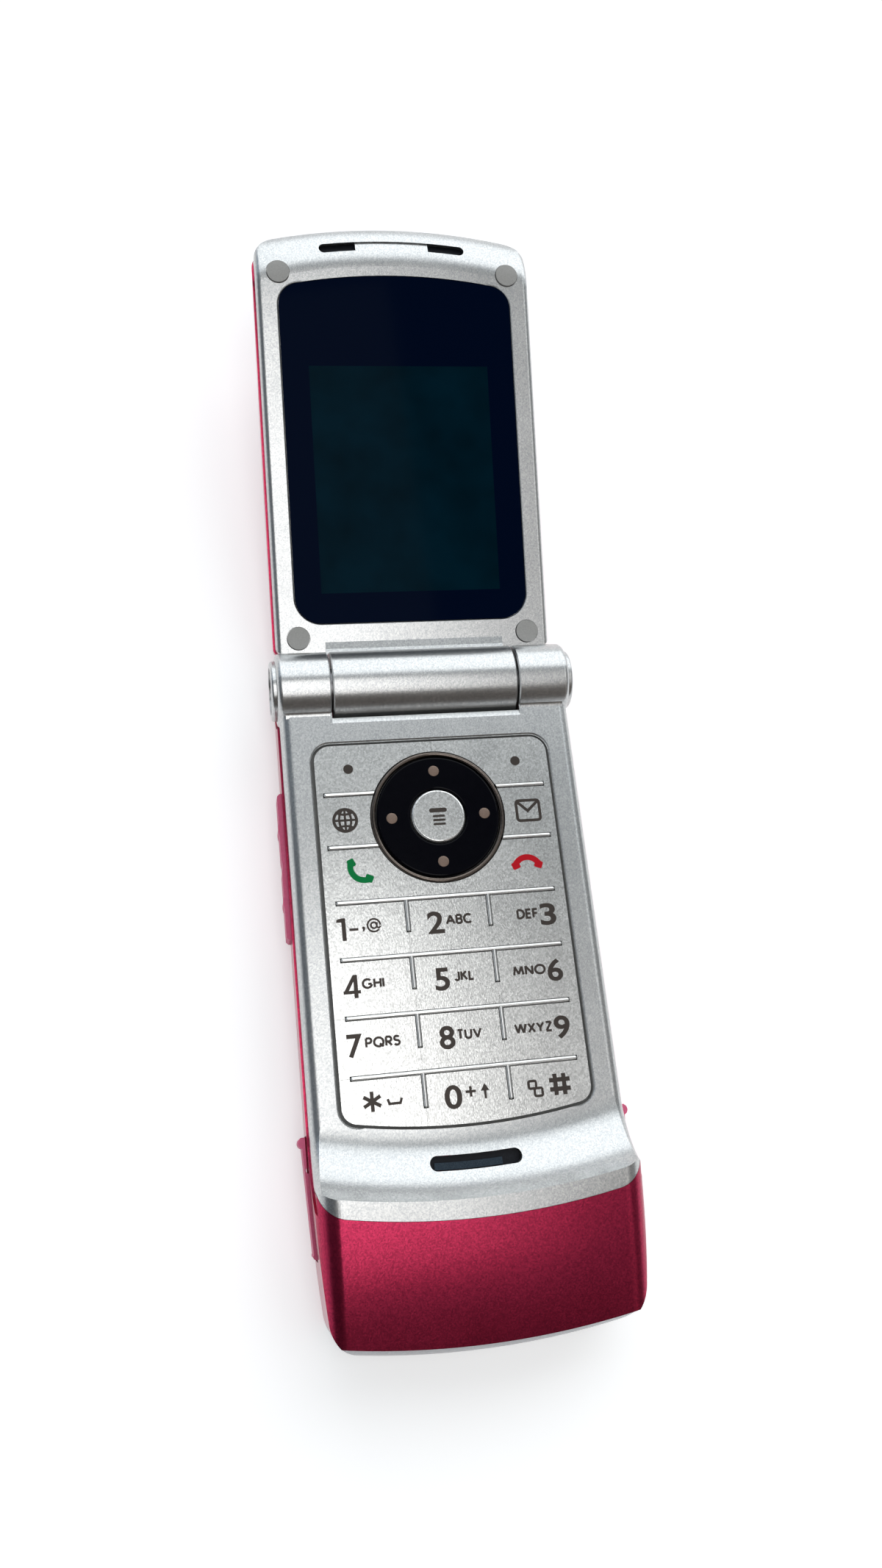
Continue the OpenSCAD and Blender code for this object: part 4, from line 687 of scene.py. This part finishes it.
# The room by direction, with X across, Y along and Z up, each from -1 to 1
WARM_DARK = (0.085, 0.070, 0.060)
DUSK = (0.145, 0.130, 0.116)
SIDE_DARK = (0.24, 0.27, 0.31)
WINDOW = (1.85, 1.94, 2.0)
PALE = (0.72, 0.75, 0.78)
ROOM_ALONG = [
    (-0.85, WARM_DARK), (-0.55, DUSK), (-0.2, grey(0.52)), (0.08, grey(0.50)),
    (0.25, (0.31, 0.34, 0.35)), (0.35, (0.44, 0.47, 0.49)),
]
ROOM_ACROSS = [
    (-0.42, SIDE_DARK), (-0.06, grey(1.0)), (0.1, grey(1.0)), (0.22, grey(0.66)),
    (0.32, grey(0.9)), (0.42, grey(2.2)), (0.56, grey(2.2)), (0.72, grey(0.6)),
]
WINDOW_ALONG = [(0.34, grey(0.0)), (0.445, WINDOW)]
WINDOW_ACROSS = [(-0.42, SIDE_DARK), (-0.06, grey(1.0))]
NEAR_FLOOR = [(0.05, grey(1.0)), (0.18, grey(0.0))]
LOW_SIDE = [(0.2, grey(1.0)), (0.42, grey(0.0))]
LEFT_SIDE = [(-0.55, grey(1.0)), (-0.25, grey(0.0))]


def studio_world():
    """A dim room with a bright window beyond the lid, and pale near the floor and low on the left."""
    world = bpy.data.worlds.new("studio")
    bpy.context.scene.world = world
    world.use_nodes = True
    sky = world.node_tree
    way = add(sky, "ShaderNodeTexCoord")
    parts = add(sky, "ShaderNodeSeparateXYZ")
    sky.links.new(way.outputs["Generated"], parts.inputs[0])
    x, y, z = (parts.outputs[axis] for axis in "XYZ")
    room_along = graded(sky, y, -1.0, 1.0, ROOM_ALONG)
    room = mixed(sky, "MULTIPLY", room_along, graded(sky, x, -1.0, 1.0, ROOM_ACROSS))
    window_along = graded(sky, y, -1.0, 1.0, WINDOW_ALONG)
    window = mixed(sky, "MULTIPLY", window_along, graded(sky, x, -1.0, 1.0, WINDOW_ACROSS))
    low_left = both(sky, graded(sky, z, 0.0, 1.0, LOW_SIDE), graded(sky, x, -1.0, 1.0, LEFT_SIDE))
    pale = add(sky, "ShaderNodeMix", data_type="RGBA")
    pale.inputs["B"].default_value = (*PALE, 1.0)
    sky.links.new(larger(sky, graded(sky, z, 0.0, 1.0, NEAR_FLOOR), low_left), pale.inputs["Factor"])
    sky.links.new(mixed(sky, "LIGHTEN", room, window), pale.inputs["A"])
    sky.links.new(pale.outputs["Result"], sky.nodes["Background"].inputs["Color"])


studio_world()

FLOOR_HALF = 3.0
FLOOR_GREY = 0.85
FLOOR_GLOW = 0.45
FLOOR_ROUGHNESS = 0.9
floor_mesh = bpy.data.meshes.new("floor")
floor_corners = [(FLOOR_HALF * x, FLOOR_HALF * y, 0) for x, y in ((-1, -1), (1, -1), (1, 1), (-1, 1))]
floor_mesh.from_pydata(floor_corners, [], [(0, 1, 2, 3)])
floor = bpy.data.objects.new("floor", floor_mesh)
bpy.context.scene.collection.objects.link(floor)
floor_mat, floor_tree, floor_bsdf = new_material("floor_white")
floor_bsdf.inputs["Base Color"].default_value = (*grey(FLOOR_GREY), 1.0)
floor_bsdf.inputs["Roughness"].default_value = FLOOR_ROUGHNESS
floor_bsdf.inputs["Specular IOR Level"].default_value = 0.0
floor_path = add(floor_tree, "ShaderNodeLightPath")
seen = larger(floor_tree, floor_path.outputs["Is Camera Ray"], floor_path.outputs["Is Glossy Ray"])
seen = larger(floor_tree, seen, floor_path.outputs["Is Transmission Ray"])
floor_tree.links.new(seen, floor_bsdf.inputs["Emission Strength"])
floor_bsdf.inputs["Emission Color"].default_value = (*grey(FLOOR_GLOW), 1.0)
floor_mesh.materials.append(floor_mat)


# Camera

SENSOR = 36.0
FOCAL_PX, PHOTO_HEIGHT_PX = 1686.8, 2133.0
CAMERA_AT = Vector((-31.466, -23.673, 183.08)) * MM
CAMERA_RIGHT = Vector((0.982438, -0.104286, 0.154729))
CAMERA_UP = Vector((0.054841, 0.953993, 0.294772))
CAMERA_BACK = Vector((-0.178351, -0.28111, 0.942957))
CAMERA_NEAR = 0.01

scene = bpy.context.scene
camera = bpy.data.cameras.new("camera")
camera.sensor_width = SENSOR
camera.lens = SENSOR * FOCAL_PX / PHOTO_HEIGHT_PX
camera.clip_start = CAMERA_NEAR
camera_obj = bpy.data.objects.new("camera", camera)
camera_turn = Matrix((CAMERA_RIGHT, CAMERA_UP, CAMERA_BACK)).transposed().to_4x4()
camera_obj.matrix_world = Matrix.Translation(CAMERA_AT) @ camera_turn
scene.collection.objects.link(camera_obj)
scene.camera = camera_obj
scene.view_settings.view_transform = "Standard"
